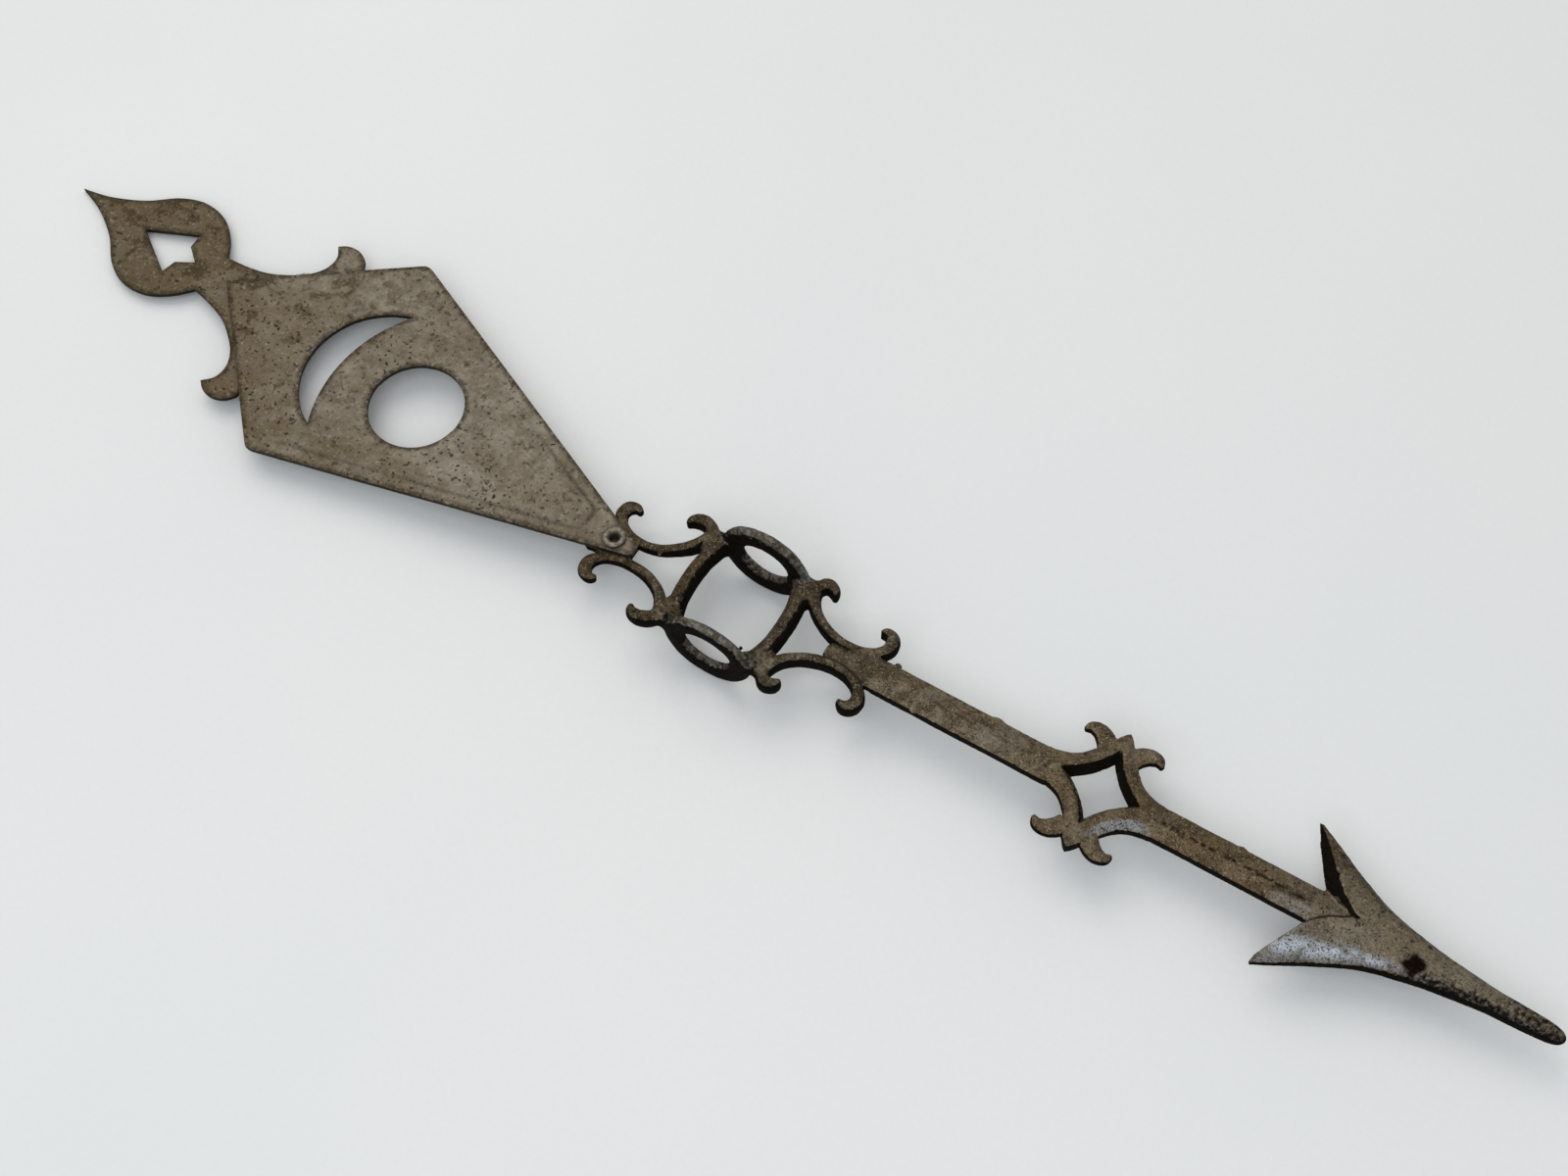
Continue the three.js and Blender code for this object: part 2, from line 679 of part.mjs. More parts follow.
const bounds = new THREE.Box3().setFromObject(arrow, true);
const middle = bounds.getCenter(new THREE.Vector3());
arrow.position.set(-middle.x, -middle.y, -bounds.min.z);

const group = new THREE.Group();
group.add(arrow);
group.updateMatrixWorld(true);

export default group;
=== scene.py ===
"""Looks of the lightning-rod arrow: a weathered cast arrow with a riveted sheet-metal tail.

The arrow is drawn in millimetres about the centre of its rod cage, +X to the tip, +Y across and
+Z up, and then placed where the frame says it lies.
"""

import json
import math

import bmesh
import bpy
import numpy as np
from mathutils import Matrix, Vector, noise
from mathutils.geometry import delaunay_2d_cdt


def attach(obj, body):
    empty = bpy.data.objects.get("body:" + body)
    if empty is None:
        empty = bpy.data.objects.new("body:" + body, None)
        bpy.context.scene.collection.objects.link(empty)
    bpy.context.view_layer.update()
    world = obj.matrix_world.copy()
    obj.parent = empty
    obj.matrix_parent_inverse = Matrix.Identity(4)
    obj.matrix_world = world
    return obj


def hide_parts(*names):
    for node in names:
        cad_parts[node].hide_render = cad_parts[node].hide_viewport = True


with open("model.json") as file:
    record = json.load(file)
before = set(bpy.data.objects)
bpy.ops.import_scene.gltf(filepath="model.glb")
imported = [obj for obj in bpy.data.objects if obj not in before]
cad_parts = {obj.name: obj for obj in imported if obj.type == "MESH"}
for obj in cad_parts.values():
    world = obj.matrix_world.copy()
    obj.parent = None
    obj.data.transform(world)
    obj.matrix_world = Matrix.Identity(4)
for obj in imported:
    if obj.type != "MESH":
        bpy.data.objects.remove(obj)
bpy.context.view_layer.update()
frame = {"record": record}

# ---- Driving dimensions, millimetres in the arrow's own frame

RING_RADIUS = 17.2
RING_BORE_RADIUS = 8.8
RING_INNER_Y = 16.5
RING_OUTER_Y = 21.2
LOWER_RING_INNER_Y = 17.4
LOWER_RING_OUTER_Y = 21.5
LOWER_RING_SQUASH = 0.82
CAGE_HALF_HEIGHT = 3.9
CAGE_CORNER = 16.6
QUARTERS = [(1, 1), (1, -1), (-1, 1), (-1, -1)]

BODY_TOP = 3.75
BODY_BACK = -1.2
WEB_BACK = -0.9
SCROLL_TOP = 3.5
SCROLL_BACK = -3.75
REAR_SCROLL_TOP = -1.8
REAR_SCROLL_BACK = -6.2
REAR_SINK = (20.3, 41.1)
SHAFT_HALF_WIDTH = 6
SHAFT_EDGE_TOP = 2.4
SHAFT_START_X = 55
SHAFT_END_X = 232
SHAFT_TO_DIAMOND = 17
RIDGE_HALF_WIDTH = 0.8

DIAMOND_X = 136.8
DIAMOND_TIP_Y = 22.6
DIAMOND_FOOT_X = 22.3
DIAMOND_BACK = -1.5
OPENING_HALF_LENGTH = 15.3
OPENING_HALF_WIDTH = 15.8
OPENING_SAG = 2
OPENING_DRAFT = 2.5
OPENING_SHIFT_Y = 1.4
DIAMOND_SLIM = 1.3
DIAMOND_FALL = 1.5
DIAMOND_CREST = 3.6
DIAMOND_HOOK_TOP = 2.9

HEAD_BACK = -1.4
HEAD_CROWN = 5
HEAD_RIM = 0.8
HEAD_TIP_X = 300.4
NOTCH_REAR_X = 196
NOTCH_MARGIN = 1
RUST_SPOT = (250, -3.2, 4)

RIVET_X = -49.1
TAIL_TOP_Z = 0.4
TAIL_YAW = math.radians(-7.37)
TAIL_DROOP = math.radians(3.77)
PLATE_THICKNESS = 1.9
LAP_GAP = 0.3
FIELD_RELIEF = 0.4
FIELD_BORDER = 4.5
FIELD_FRONT_X = -12
KITE_NOSE = (9, 2.3)
KITE_SHOULDER = (-129.4, 48.8)
KITE_HEEL_X = -185.8
ROUND_HOLE_X = -91.8
ROUND_HOLE_RADIUS = 17.3
MOON_OUTER_X = -108.4
MOON_OUTER_RADIUS = 29.75
MOON_INNER_X = -72.1
MOON_INNER_RADIUS = 54.2
FINIAL_TIP_X = -261.6
FINIAL_LAP_X = -149

TONGUE_TOP = -PLATE_THICKNESS - LAP_GAP
TONGUE_THICKNESS = 3.2
TONGUE_HOLE_RADIUS = 3
RIVET_HEAD_RADIUS = 4.1
RIVET_SHANK_RADIUS = 2.7
RIVET_HOLLOW_RADIUS = 1.5
RIVET_DISH_RADIUS = 2.9
RIVET_FOOT_RADIUS = 3.9
WASHER_RADIUS = 5.2
WASHER_THICKNESS = 0.9
SOLDER_X = -165.2

CASTING_VOXEL = 0.36
CASTING_LENGTH = 300
WELD_ROUNDS = 26
RELAX_PULL = 0.6
PLATE_SPACING = 1.0
RIM_REACH = 12
RIVET_SEGMENTS = 72
EDGE_ROWS = 4
MILLIMETRE = 0.001

# ---- Places

# The arrow lies on its rings and the tip of its finial, so it is tipped a little.
ARROW_PITCH = math.radians(0.6607)


def arrow_place():
    """Where the arrow's own frame lies: midway between the faces of the two rings."""
    mounts = frame["record"]["mounts"]
    faces = [Vector(m["pos_m"]) for m in mounts if m["name"].startswith("ring_face")]
    middle = (faces[0] + faces[1]) / 2
    middle.z = RING_RADIUS * MILLIMETRE
    return (
        Matrix.Translation(middle)
        @ Matrix.Rotation(ARROW_PITCH, 4, "Y")
        @ Matrix.Scale(MILLIMETRE, 4)
    )


ARROW = arrow_place()
TONGUE = Matrix.Translation((RIVET_X, 0, TAIL_TOP_Z)) @ Matrix.Rotation(-TAIL_DROOP, 4, "Y")
TAIL = TONGUE @ Matrix.Rotation(TAIL_YAW, 4, "Z")


def moved(points, matrix):
    """Points, an (n, 3) array, under a 4x4 matrix."""
    m = np.array(matrix)
    return np.asarray(points, float) @ m[:3, :3].T + m[:3, 3]


def step(low, high, value):
    """Smooth step from 0 at low to 1 at high."""
    t = np.clip((np.asarray(value, float) - low) / (high - low), 0, 1)
    return t * t * (3 - 2 * t)


def field(points, size, octaves=3, shift=(0, 0, 0)):
    """Fractal noise, about -1 to 1, with features of the given size in millimetres."""
    offset = Vector(shift)
    scaled = np.asarray(points, float) / size
    return np.array([noise.fractal(Vector(p) + offset, 1.0, 2.0, octaves) for p in scaled])


# ---- Solids: each is (points, faces)


def joined(solids):
    points, faces, start = [], [], 0
    for solid_points, solid_faces in solids:
        points.append(np.asarray(solid_points, float))
        faces += [[i + start for i in face] for face in solid_faces]
        start += len(solid_points)
    return np.vstack(points), faces


def loft(sections):
    """A skin over closed sections of equal point count, capped at both ends."""
    count = len(sections[0])
    faces = []
    for row in range(len(sections) - 1):
        for i in range(count):
            a, b = row * count + i, row * count + (i + 1) % count
            faces.append([a, b, b + count, a + count])
    last = (len(sections) - 1) * count
    faces += [list(range(count))[::-1], list(range(last, last + count))]
    return np.vstack([np.asarray(s, float) for s in sections]), faces


def spline(points, steps):
    """A centripetal Catmull-Rom curve through points, which may carry extra values."""
    p = np.asarray(points, float)
    p = np.vstack([2 * p[0] - p[1], p, 2 * p[-1] - p[-2]])
    knots = np.concatenate([[0], np.cumsum(np.linalg.norm(np.diff(p, axis=0), axis=1) ** 0.5)])
    along = np.linspace(knots[1], knots[-2], steps + 1)
    rows = []
    for t in along:
        i = int(np.clip(np.searchsorted(knots, t, side="right") - 1, 1, len(p) - 3))
        k, q = knots[i - 1:i + 3], p[i - 1:i + 3]
        a = [(k[j + 1] - t) / (k[j + 1] - k[j]) * q[j] + (t - k[j]) / (k[j + 1] - k[j]) * q[j + 1]
             for j in range(3)]
        b = [(k[j + 2] - t) / (k[j + 2] - k[j]) * a[j] + (t - k[j]) / (k[j + 2] - k[j]) * a[j + 1]
             for j in range(2)]
        rows.append((k[2] - t) / (k[2] - k[1]) * b[0] + (t - k[1]) / (k[2] - k[1]) * b[1])
    return np.array(rows)


def rounded_section(power, count=20):
    """A unit superellipse: power 2 is a circle, and higher powers are squarer."""
    angles = np.linspace(0, 2 * math.pi, count, endpoint=False)
    c, s = np.cos(angles), np.sin(angles)
    return np.stack([
        np.sign(c) * np.abs(c) ** (2 / power),
        np.sign(s) * np.abs(s) ** (2 / power),
    ], axis=1)


def swept_bar(stations, steps, heights, power=2.6):
    """A bar along a plan curve of stations [x, y, half width]; heights(x) gives its two faces."""
    spine = spline(stations, steps)
    along = np.gradient(spine[:, :2], axis=0)
    along /= np.linalg.norm(along, axis=1)[:, None]
    unit = rounded_section(power)
    sections = []
    for (x, y, half), (dx, dy) in zip(spine, along):
        low, high = heights(x)
        half = max(half, 0.15)
        squash = min(1, 0.35 + half / 2.2)
        middle, rise = (low + high) / 2, (high - low) / 2 * squash
        sections.append([
            (x - dy * side * half, y + dx * side * half, middle + up * rise) for side, up in unit
        ])
    return loft(sections)


def lathe(profile, segments=96):
    """A ring of revolution about +Z from a closed profile of (radius, z)."""
    count = len(profile)
    points, faces = [], []
    for turn in range(segments):
        angle = 2 * math.pi * turn / segments
        points += [(r * math.cos(angle), r * math.sin(angle), z) for r, z in profile]
        for i in range(count):
            a, b = turn * count + i, turn * count + (i + 1) % count
            shift = count if turn < segments - 1 else -turn * count
            faces.append([a, a + shift, b + shift, b])
    return np.array(points), faces


def ellipsoid(centre, radii, turn=0.0, rings=14, segments=24):
    """A rounded lump, turned about Z."""
    points = [(0, 0, -1)]
    for ring in range(1, rings):
        tilt = math.pi * ring / rings
        for i in range(segments):
            angle = 2 * math.pi * i / segments
            points.append((
                math.sin(tilt) * math.cos(angle), math.sin(tilt) * math.sin(angle), -math.cos(tilt),
            ))
    points.append((0, 0, 1))
    faces = []
    for i in range(segments):
        j = (i + 1) % segments
        faces.append([0, 1 + j, 1 + i])
        top = 1 + (rings - 2) * segments
        faces.append([top + i, top + j, len(points) - 1])
        for ring in range(rings - 2):
            a = 1 + ring * segments
            faces.append([a + i, a + j, a + segments + j, a + segments + i])
    place = Matrix.Translation(centre) @ Matrix.Rotation(turn, 4, "Z")
    return moved(np.array(points) * np.array(radii), place), faces


def mirror_y(points):
    return [(p[0], -p[1], *p[2:]) for p in points]


def circle(centre_x, radius, count):
    angles = np.linspace(0, 2 * math.pi, count, endpoint=False)
    return [(centre_x + radius * math.cos(a), radius * math.sin(a)) for a in angles]


def symmetric_outline(upper):
    """A closed outline symmetric about the X axis, from the points of its upper half."""
    return list(upper) + [(x, -y) for x, y in reversed(upper) if abs(y) > 1e-9]


def resampled(outline, spacing):
    """The outline with its long edges divided, as an (n, 2) array."""
    p = np.asarray(outline, float)
    rows = []
    for a, b in zip(p, np.roll(p, -1, axis=0)):
        pieces = max(1, int(round(np.linalg.norm(b - a) / spacing)))
        rows += [a + (b - a) * k / pieces for k in range(pieces)]
    return np.array(rows)


def signed_area(loop):
    x, y = loop[:, 0], loop[:, 1]
    return 0.5 * np.sum(x * np.roll(y, -1) - np.roll(x, -1) * y)


def edge_distance(points, loops):
    """Distance from each (n, 2) point to the nearest edge of the loops."""
    best = np.full(len(points), np.inf)
    for loop in loops:
        for a, b in zip(loop, np.roll(loop, -1, axis=0)):
            d = b - a
            t = np.clip((points - a) @ d / max(d @ d, 1e-12), 0, 1)
            best = np.minimum(best, np.linalg.norm(points - a - t[:, None] * d, axis=1))
    return best


def enclosed(points, loops):
    """Whether each point is in an odd number of loops."""
    inside = np.zeros(len(points), bool)
    x, y = points[:, 0], points[:, 1]
    for loop in loops:
        for (ax, ay), (bx, by) in zip(loop, np.roll(loop, -1, axis=0)):
            if ay == by:
                continue
            crosses = (ay > y) != (by > y)
            inside ^= crosses & (x < (bx - ax) * (y - ay) / (by - ay) + ax)
    return inside


def inset(loop, distance):
    """A loop moved to its left, with its corners mitred up to a limit."""
    before, after = loop - np.roll(loop, 1, axis=0), np.roll(loop, -1, axis=0) - loop
    normals = []
    for d in (before, after):
        d = d / np.maximum(np.linalg.norm(d, axis=1), 1e-9)[:, None]
        normals.append(np.stack([-d[:, 1], d[:, 0]], axis=1))
    both = normals[0] + normals[1]
    both /= np.maximum(np.linalg.norm(both, axis=1), 1e-9)[:, None]
    cosine = np.maximum(np.sum(both * normals[0], axis=1), 0.6)
    return loop + both / cosine[:, None] * distance


def plan_grid(outline, insets, spacing):
    """A triangular grid of points inside the insets, clear of their edges."""
    low_x, low_y = outline.min(axis=0)
    high_x, high_y = outline.max(axis=0)
    rows = np.arange(low_y, high_y, spacing * math.sqrt(0.75))
    grid = np.array([
        (x + (0.5 * spacing if k % 2 else 0), y)
        for k, y in enumerate(rows) for x in np.arange(low_x, high_x, spacing)
    ])
    grid = grid[enclosed(grid, insets)]
    return grid[edge_distance(grid, insets) > spacing * 0.55]


def filled_plan(insets, grid):
    """Triangles that fill the insets, and where each point of the insets and grid is now."""
    edges, start = [], 0
    for loop in insets:
        n = len(loop)
        edges += [(start + i, start + (i + 1) % n) for i in range(n)]
        start += n
    flat = [Vector(p) for p in np.vstack([*insets, grid])]
    made, _, triangles, origins, *_ = delaunay_2d_cdt(flat, edges, [], 1, 1e-5)
    made = np.array([tuple(p) for p in made])
    triangles = np.array(triangles)
    triangles = triangles[enclosed(made[triangles].mean(axis=1), insets)]
    where = {source: i for i, sources in enumerate(origins) for source in sources}
    return made, triangles, where


def sheet_metal(outline, holes, low, high, edge, spacing, relief=None, under=None, draft=0.0):
    """A plate with rounded edges: plan outline and holes, faces at two heights, and a relief that
    the top follows, and the underside too unless under gives its own. The walls of holes close in
    by draft towards the underside. Returns the solid and its points' distances from an edge."""
    loops = []
    for index, raw in enumerate([outline] + list(holes)):
        loop = resampled(raw, spacing * 0.8)
        if (signed_area(loop) > 0) != (index == 0):
            loop = loop[::-1]
        loops.append(loop)
    insets = [inset(loop, edge) for loop in loops]
    made, triangles, where = filled_plan(insets, plan_grid(loops[0], insets, spacing))
    count = len(made)
    lift = relief(made) if relief is not None else np.zeros(count)
    sink = under(made) if under is not None else lift
    points = [np.column_stack([made, high + lift]), np.column_stack([made, low + sink])]
    faces = [list(t) for t in triangles]
    faces += [[t[2] + count, t[1] + count, t[0] + count] for t in triangles]
    total, start = 2 * count, 0
    angles = [math.pi / 2 * k / EDGE_ROWS for k in range(1, EDGE_ROWS + 1)]
    profile = [(edge * math.sin(a), high - edge * (1 - math.cos(a))) for a in angles]
    profile += [(out, low + high - z) for out, z in reversed(profile)]
    for index, (loop, inner) in enumerate(zip(loops, insets)):
        n = len(loop)
        first = [where[start + i] for i in range(n)]
        outward = (loop - inner) / edge
        previous = first
        for out, z in profile:
            deep = (high - z) / (high - low)
            reach = out + (draft * deep if index else 0)
            rise = lift[first] + (sink[first] - lift[first]) * deep
            row = np.column_stack([inner + outward * reach, z + rise])
            points.append(row)
            now = list(range(total, total + n))
            faces += [[previous[i], now[i], now[(i + 1) % n], previous[(i + 1) % n]]
                      for i in range(n)]
            previous, total = now, total + n
        last = [i + count for i in first]
        faces += [[previous[i], last[i], last[(i + 1) % n], previous[(i + 1) % n]]
                  for i in range(n)]
        start += n
    points = np.vstack(points)
    return (points, faces), edge_distance(points[:, :2], loops)


# ---- Meshes


def mesh_from(points, faces, name):
    mesh = bpy.data.meshes.new(name)
    mesh.from_pydata([tuple(p) for p in points], [], [tuple(f) for f in faces])
    mesh.update()
    return mesh


def outward_mesh(solid, name):
    """A mesh whose faces look outwards."""
    mesh = mesh_from(*solid, name)
    bm = bmesh.new()
    bm.from_mesh(mesh)
    bmesh.ops.recalc_face_normals(bm, faces=bm.faces)
    bm.to_mesh(mesh)
    bm.free()
    return mesh


def in_scene(name, data):
    """A new object for some data, linked into the scene."""
    thing = bpy.data.objects.new(name, data)
    bpy.context.scene.collection.objects.link(thing)
    return thing


def modified(mesh, kind, **settings):
    """The mesh after one modifier."""
    holder = in_scene("work", mesh)
    modifier = holder.modifiers.new("work", kind)
    for key, value in settings.items():
        setattr(modifier, key, value)
    depsgraph = bpy.context.evaluated_depsgraph_get()
    result = bpy.data.meshes.new_from_object(holder.evaluated_get(depsgraph))
    bpy.data.objects.remove(holder)
    return result


def rows_of(items, key, width, kind=float):
    """One property of every vertex or edge, as rows of the given width."""
    flat = np.empty(len(items) * width, kind)
    items.foreach_get(key, flat)
    return flat.reshape(-1, width)


def mesh_points(mesh):
    return rows_of(mesh.vertices, "co", 3)


def mesh_normals(mesh):
    return rows_of(mesh.vertices, "normal", 3)


def move_vertices(mesh, points):
    mesh.vertices.foreach_set("co", points.ravel())
    mesh.update()


def neighbour_mean(values, edges):
    """The mean of each vertex's neighbours."""
    total = np.zeros_like(values)
    count = np.bincount(edges.ravel(), minlength=len(values)).astype(float)
    for a, b in ((0, 1), (1, 0)):
        for axis in range(values.shape[1]):
            total[:, axis] += np.bincount(
                edges[:, a], weights=values[edges[:, b], axis], minlength=len(values),
            )
    return total / np.maximum(count, 1)[:, None]


def smoothed(points, edges, rounds, pull=0.5, push=-0.52):
    """Smoothing that keeps the volume: every pull is followed by a push."""
    for _ in range(rounds):
        for amount in (pull, push):
            points = points + amount * (neighbour_mean(points, edges) - points)
    return points


def relaxed(points, edges, rounds):
    for _ in range(rounds):
        points = points + RELAX_PULL * (neighbour_mean(points, edges) - points)
    return points


def set_masks(mesh, **masks):
    """Values on every vertex, which the materials read by name."""
    for name, values in masks.items():
        attribute = mesh.attributes.new(name, "FLOAT", "POINT")
        attribute.data.foreach_set("value", np.asarray(values, np.float32))


def finish_piece(mesh, name, material, node, matrix):
    """Places a mesh drawn in millimetres and hands it to the frame."""
    mesh.transform(matrix)
    mesh.name = name
    mesh.shade_smooth()
    mesh.materials.clear()
    mesh.materials.append(material)
    piece = in_scene(name, mesh)
    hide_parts(node)
    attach(piece, "root")


# ---- Casting


def rod_ring(side, inner, outer, squash=1.0):
    """A ring about the Y axis with a rounded section; squash flattens its upper half."""
    middle = (RING_RADIUS + RING_BORE_RADIUS) / 2
    half = (RING_RADIUS - RING_BORE_RADIUS) / 2
    profile = [(middle + half * u, (outer - inner) / 2 * v) for u, v in rounded_section(2.2, 32)]
    points, faces = lathe(profile)
    centre = (0, side * (outer + inner) / 2, 0)
    place = Matrix.Translation(centre) @ Matrix.Rotation(math.pi / 2, 4, "X")
    placed = moved(points, place)
    return [(x, y, z * squash if z > 0 else z) for x, y, z in placed], faces


def cage_bar(sign):
    """One bowed bar of the cage, running into both rings."""
    quarter = [(18.3, 0, 3.3), (18.1, 5, 3.3), (17.5, 9.5, 3.3), (16.4, 13.6, 3.4),
               (15.2, 17.2, 3.1), (13.6, 19.3, 1.6)]
    stations = [(sign * x, y, half) for x, y, half in quarter]
    whole = mirror_y(stations[:0:-1]) + stations
    return swept_bar(whole, 64, lambda x: (-CAGE_HALF_HEIGHT, CAGE_HALF_HEIGHT), 2.0)


def cage_fillets():
    """Metal that fills the corners where bars, rings and scrolls meet."""
    lumps = []
    for sign_x, sign_y in QUARTERS:
        lumps += [
            ellipsoid((sign_x * 13.9, sign_y * 17.0, 0), (3.4, 3.0, 4.6)),
            ellipsoid((sign_x * 14.2, sign_y * 19.0, 0.5), (2.6, 2.1, 7.4)),
            ellipsoid((sign_x * 19.7, sign_y * 12.6, 0), (2.1, 5.4, 3.3), -sign_x * sign_y * 0.2),
            ellipsoid((sign_x * 18.2, sign_y * 17.8, 0.4), (2.9, 3.0, 3.3)),
        ]
    return lumps


def scroll_stations(reach):
    """From the hook beside the cage, moved away from it by reach, to the hook on the shaft."""
    return [
        (27.6 + reach, 18.2, 0.9), (26.3 + reach, 20.2, 2.0), (23.4 + reach * 0.7, 21.2, 2.5),
        (21.2, 18.8, 2.4), (21.4, 15.4, 2.4), (24.2, 11, 2.1), (28.6, 7.7, 1.9),
        (34, 5.3, 1.9), (40, 4.4, 1.8), (46, 5, 1.9), (50.7, 7.4, 2.1),
        (53, 11, 2.5), (52.3, 14.2, 2.5), (49.8, 15.5, 1.9), (47.4, 14.6, 0.9),
    ]


def rear_heights(x):
    """The rear scrolls sink from the cage to the underside of the tail plate."""
    sink = float(step(*REAR_SINK, -x))
    return (
        SCROLL_BACK + (REAR_SCROLL_BACK - SCROLL_BACK) * sink,
        SCROLL_TOP + (REAR_SCROLL_TOP - SCROLL_TOP) * sink,
    )


def scrolls():
    front = scroll_stations(0)
    rear = [(-x, y, half) for x, y, half in scroll_stations(3.4)]
    bars = []
    for stations, heights in ((front, lambda x: (SCROLL_BACK, SCROLL_TOP)), (rear, rear_heights)):
        bars += [swept_bar(s, 96, heights) for s in (stations, mirror_y(stations))]
    return bars


def shaft(start, end):
    """A length of shaft with a low ridge along its top."""
    w = SHAFT_HALF_WIDTH
    section = [(-w, BODY_BACK), (w, BODY_BACK), (w, SHAFT_EDGE_TOP),
               (RIDGE_HALF_WIDTH, BODY_TOP), (-RIDGE_HALF_WIDTH, BODY_TOP), (-w, SHAFT_EDGE_TOP)]
    return loft([[(x, y, z) for y, z in section] for x in np.linspace(start, end, 12)])


def shaft_root():
    """The start of the shaft: it widens and rises out of the fork between the front scrolls."""
    stations = [(34.4, 2.0, 0.9, 1.3), (37, 3.4, 1.2, 1.8), (42, 4.6, 1.7, 2.6),
                (50, 5.6, 2.2, 3.4), (SHAFT_START_X + 2, SHAFT_HALF_WIDTH, SHAFT_EDGE_TOP, BODY_TOP)]
    rows = []
    for x, w, side, ridge in spline(stations, 24):
        rows.append([(x, -w, WEB_BACK), (x, w, WEB_BACK), (x, w, side),
                     (x, RIDGE_HALF_WIDTH, ridge), (x, -RIDGE_HALF_WIDTH, ridge), (x, -w, side)])
    return loft(rows)


def waist(x, y):
    """1 along the middle of the diamond's thinner bar, 0 at its ends and on the other bars."""
    return float(step(2.5, 8, -x) * step(2.5, 8, -y) * step(22, 17, -x))


def diamond():
    """The ornament: a block with swept flanks, a four-cornered opening and four hooks."""
    flank = spline([(0, DIAMOND_TIP_Y + 0.6), (1.4, DIAMOND_TIP_Y - 0.6), (4.6, 17.6), (9, 11.9),
                    (12.2, 8.9), (17, 6.9), (DIAMOND_FOOT_X, SHAFT_HALF_WIDTH)], 26)
    upper = [(-x, y) for x, y in flank[::-1]] + [tuple(p) for p in flank[1:]]
    corners = [(OPENING_HALF_LENGTH, OPENING_SHIFT_Y), (0, OPENING_HALF_WIDTH + OPENING_SHIFT_Y),
               (-OPENING_HALF_LENGTH, OPENING_SHIFT_Y), (0, OPENING_SHIFT_Y - OPENING_HALF_WIDTH)]
    opening = []
    for a, b in zip(corners, corners[1:] + corners[:1]):
        for t in np.linspace(0.03, 0.97, 12):
            sag = 4 * t * (1 - t) * OPENING_SAG * math.sqrt(0.5)
            x, y = (a[i] + (b[i] - a[i]) * t for i in (0, 1))
            outwards = a[1] + b[1] - 2 * OPENING_SHIFT_Y
            opening.append((x - math.copysign(sag, a[0] + b[0]), y - math.copysign(sag, outwards)))
    slim = DIAMOND_SLIM
    outline = [(x + slim * waist(x, y), y + slim * waist(x, y)) for x, y in symmetric_outline(upper)]
    edge_loop = np.array(outline)

    def crown(flat):
        """The top falls away to the outer edge, and at the feet meets the shaft's roof."""
        away = edge_distance(flat, [edge_loop])
        fall = DIAMOND_FALL * step(DIAMOND_CREST, 0, away) * step(0.5, 6, np.abs(flat[:, 0]))
        roof = (BODY_TOP - SHAFT_EDGE_TOP) * np.abs(flat[:, 1]) / SHAFT_HALF_WIDTH
        at_foot = step(12, 20, np.abs(flat[:, 0]))
        return -(fall * (1 - at_foot) + roof * at_foot)

    block = sheet_metal(outline, [opening], DIAMOND_BACK, BODY_TOP, 0.6, 1.2, crown,
                        lambda flat: np.zeros(len(flat)), OPENING_DRAFT)[0]
    solids = [(moved(block[0], Matrix.Translation((DIAMOND_X, 0, 0))), block[1])]
    hook = [(4.2, 15.4, 3.6), (6.4, 18.0, 3.4), (9.2, 19.7, 2.9), (12.2, 19.7, 2.1),
            (14.3, 17.9, 0.7)]
    for sign_x, sign_y in QUARTERS:
        stations = [(DIAMOND_X + sign_x * x, sign_y * y, half) for x, y, half in hook]
        solids.append(swept_bar(stations, 40, lambda x: (WEB_BACK, DIAMOND_HOOK_TOP), 3))
    return solids


# Places along the head, from behind the barbs to the tip: x, half width, crown and back heights.
HEAD_STATIONS = [
    (199, 30.6, 2.6, HEAD_BACK), (203.5, 28, 3.2, HEAD_BACK), (209, 25.2, 4.2, HEAD_BACK),
    (215, 21.9, 4.8, HEAD_BACK), (221, 18.5, HEAD_CROWN, HEAD_BACK),
    (227, 15.5, HEAD_CROWN, HEAD_BACK), (233, 12.6, 4.9, HEAD_BACK), (239, 10.5, 4.8, HEAD_BACK),
    (249.7, 7.9, 4.5, -1.6), (261.5, 5.9, 4.2, -2), (274.5, 4.3, 3.7, -2.6), (288, 3.6, 3.2, -2.8),
    (296, 3, 2.6, -2.5), (299.2, 1.9, 1.7, -1.7), (HEAD_TIP_X, 0.6, 0.6, -0.6),
]
# The upper barb's rear wall at the back face and at the crown: it leans forwards as it rises.
NOTCH_AT_BACK = [(220, 0), (217, 4.2), (214.2, 8.7), (211.2, 13.4), (207, 20), (203.5, 26.6),
                 (199.6, 34)]
NOTCH_AT_CROWN = [(231, 0), (226, 3.3), (219.9, 8.8), (216.3, 13.3), (211.7, 20.3), (207.5, 26.6),
                  (203, 34)]


def head_section(x, half, crown, back):
    rim_top, rim_back = min(HEAD_RIM, crown * 0.5), max(-HEAD_RIM, back * 0.5)
    over = [(half * math.cos(a), rim_top + (crown - rim_top) * math.sin(a))
            for a in np.linspace(0, math.pi, 25)]
    under = [(half * math.cos(a), rim_back + (rim_back - back) * math.sin(a))
             for a in np.linspace(math.pi, 2 * math.pi, 13)]
    return [(x, y, z) for y, z in over + under]


# The lower barb's rear wall, which stands upright.
LOWER_WALL = [(225.5, 1.2), (220, -1.6), (216.6, -4.2), (214.2, -6.6), (212.4, -9.5), (210, -13.8),
              (206.8, -20), (204.6, -24.6), (204.5, -26.3), (205.6, -34)]


def notch_wall(lean):
    return [(a[0] + (b[0] - a[0]) * lean, a[1] + (b[1] - a[1]) * lean)
            for a, b in zip(NOTCH_AT_BACK, NOTCH_AT_CROWN)]


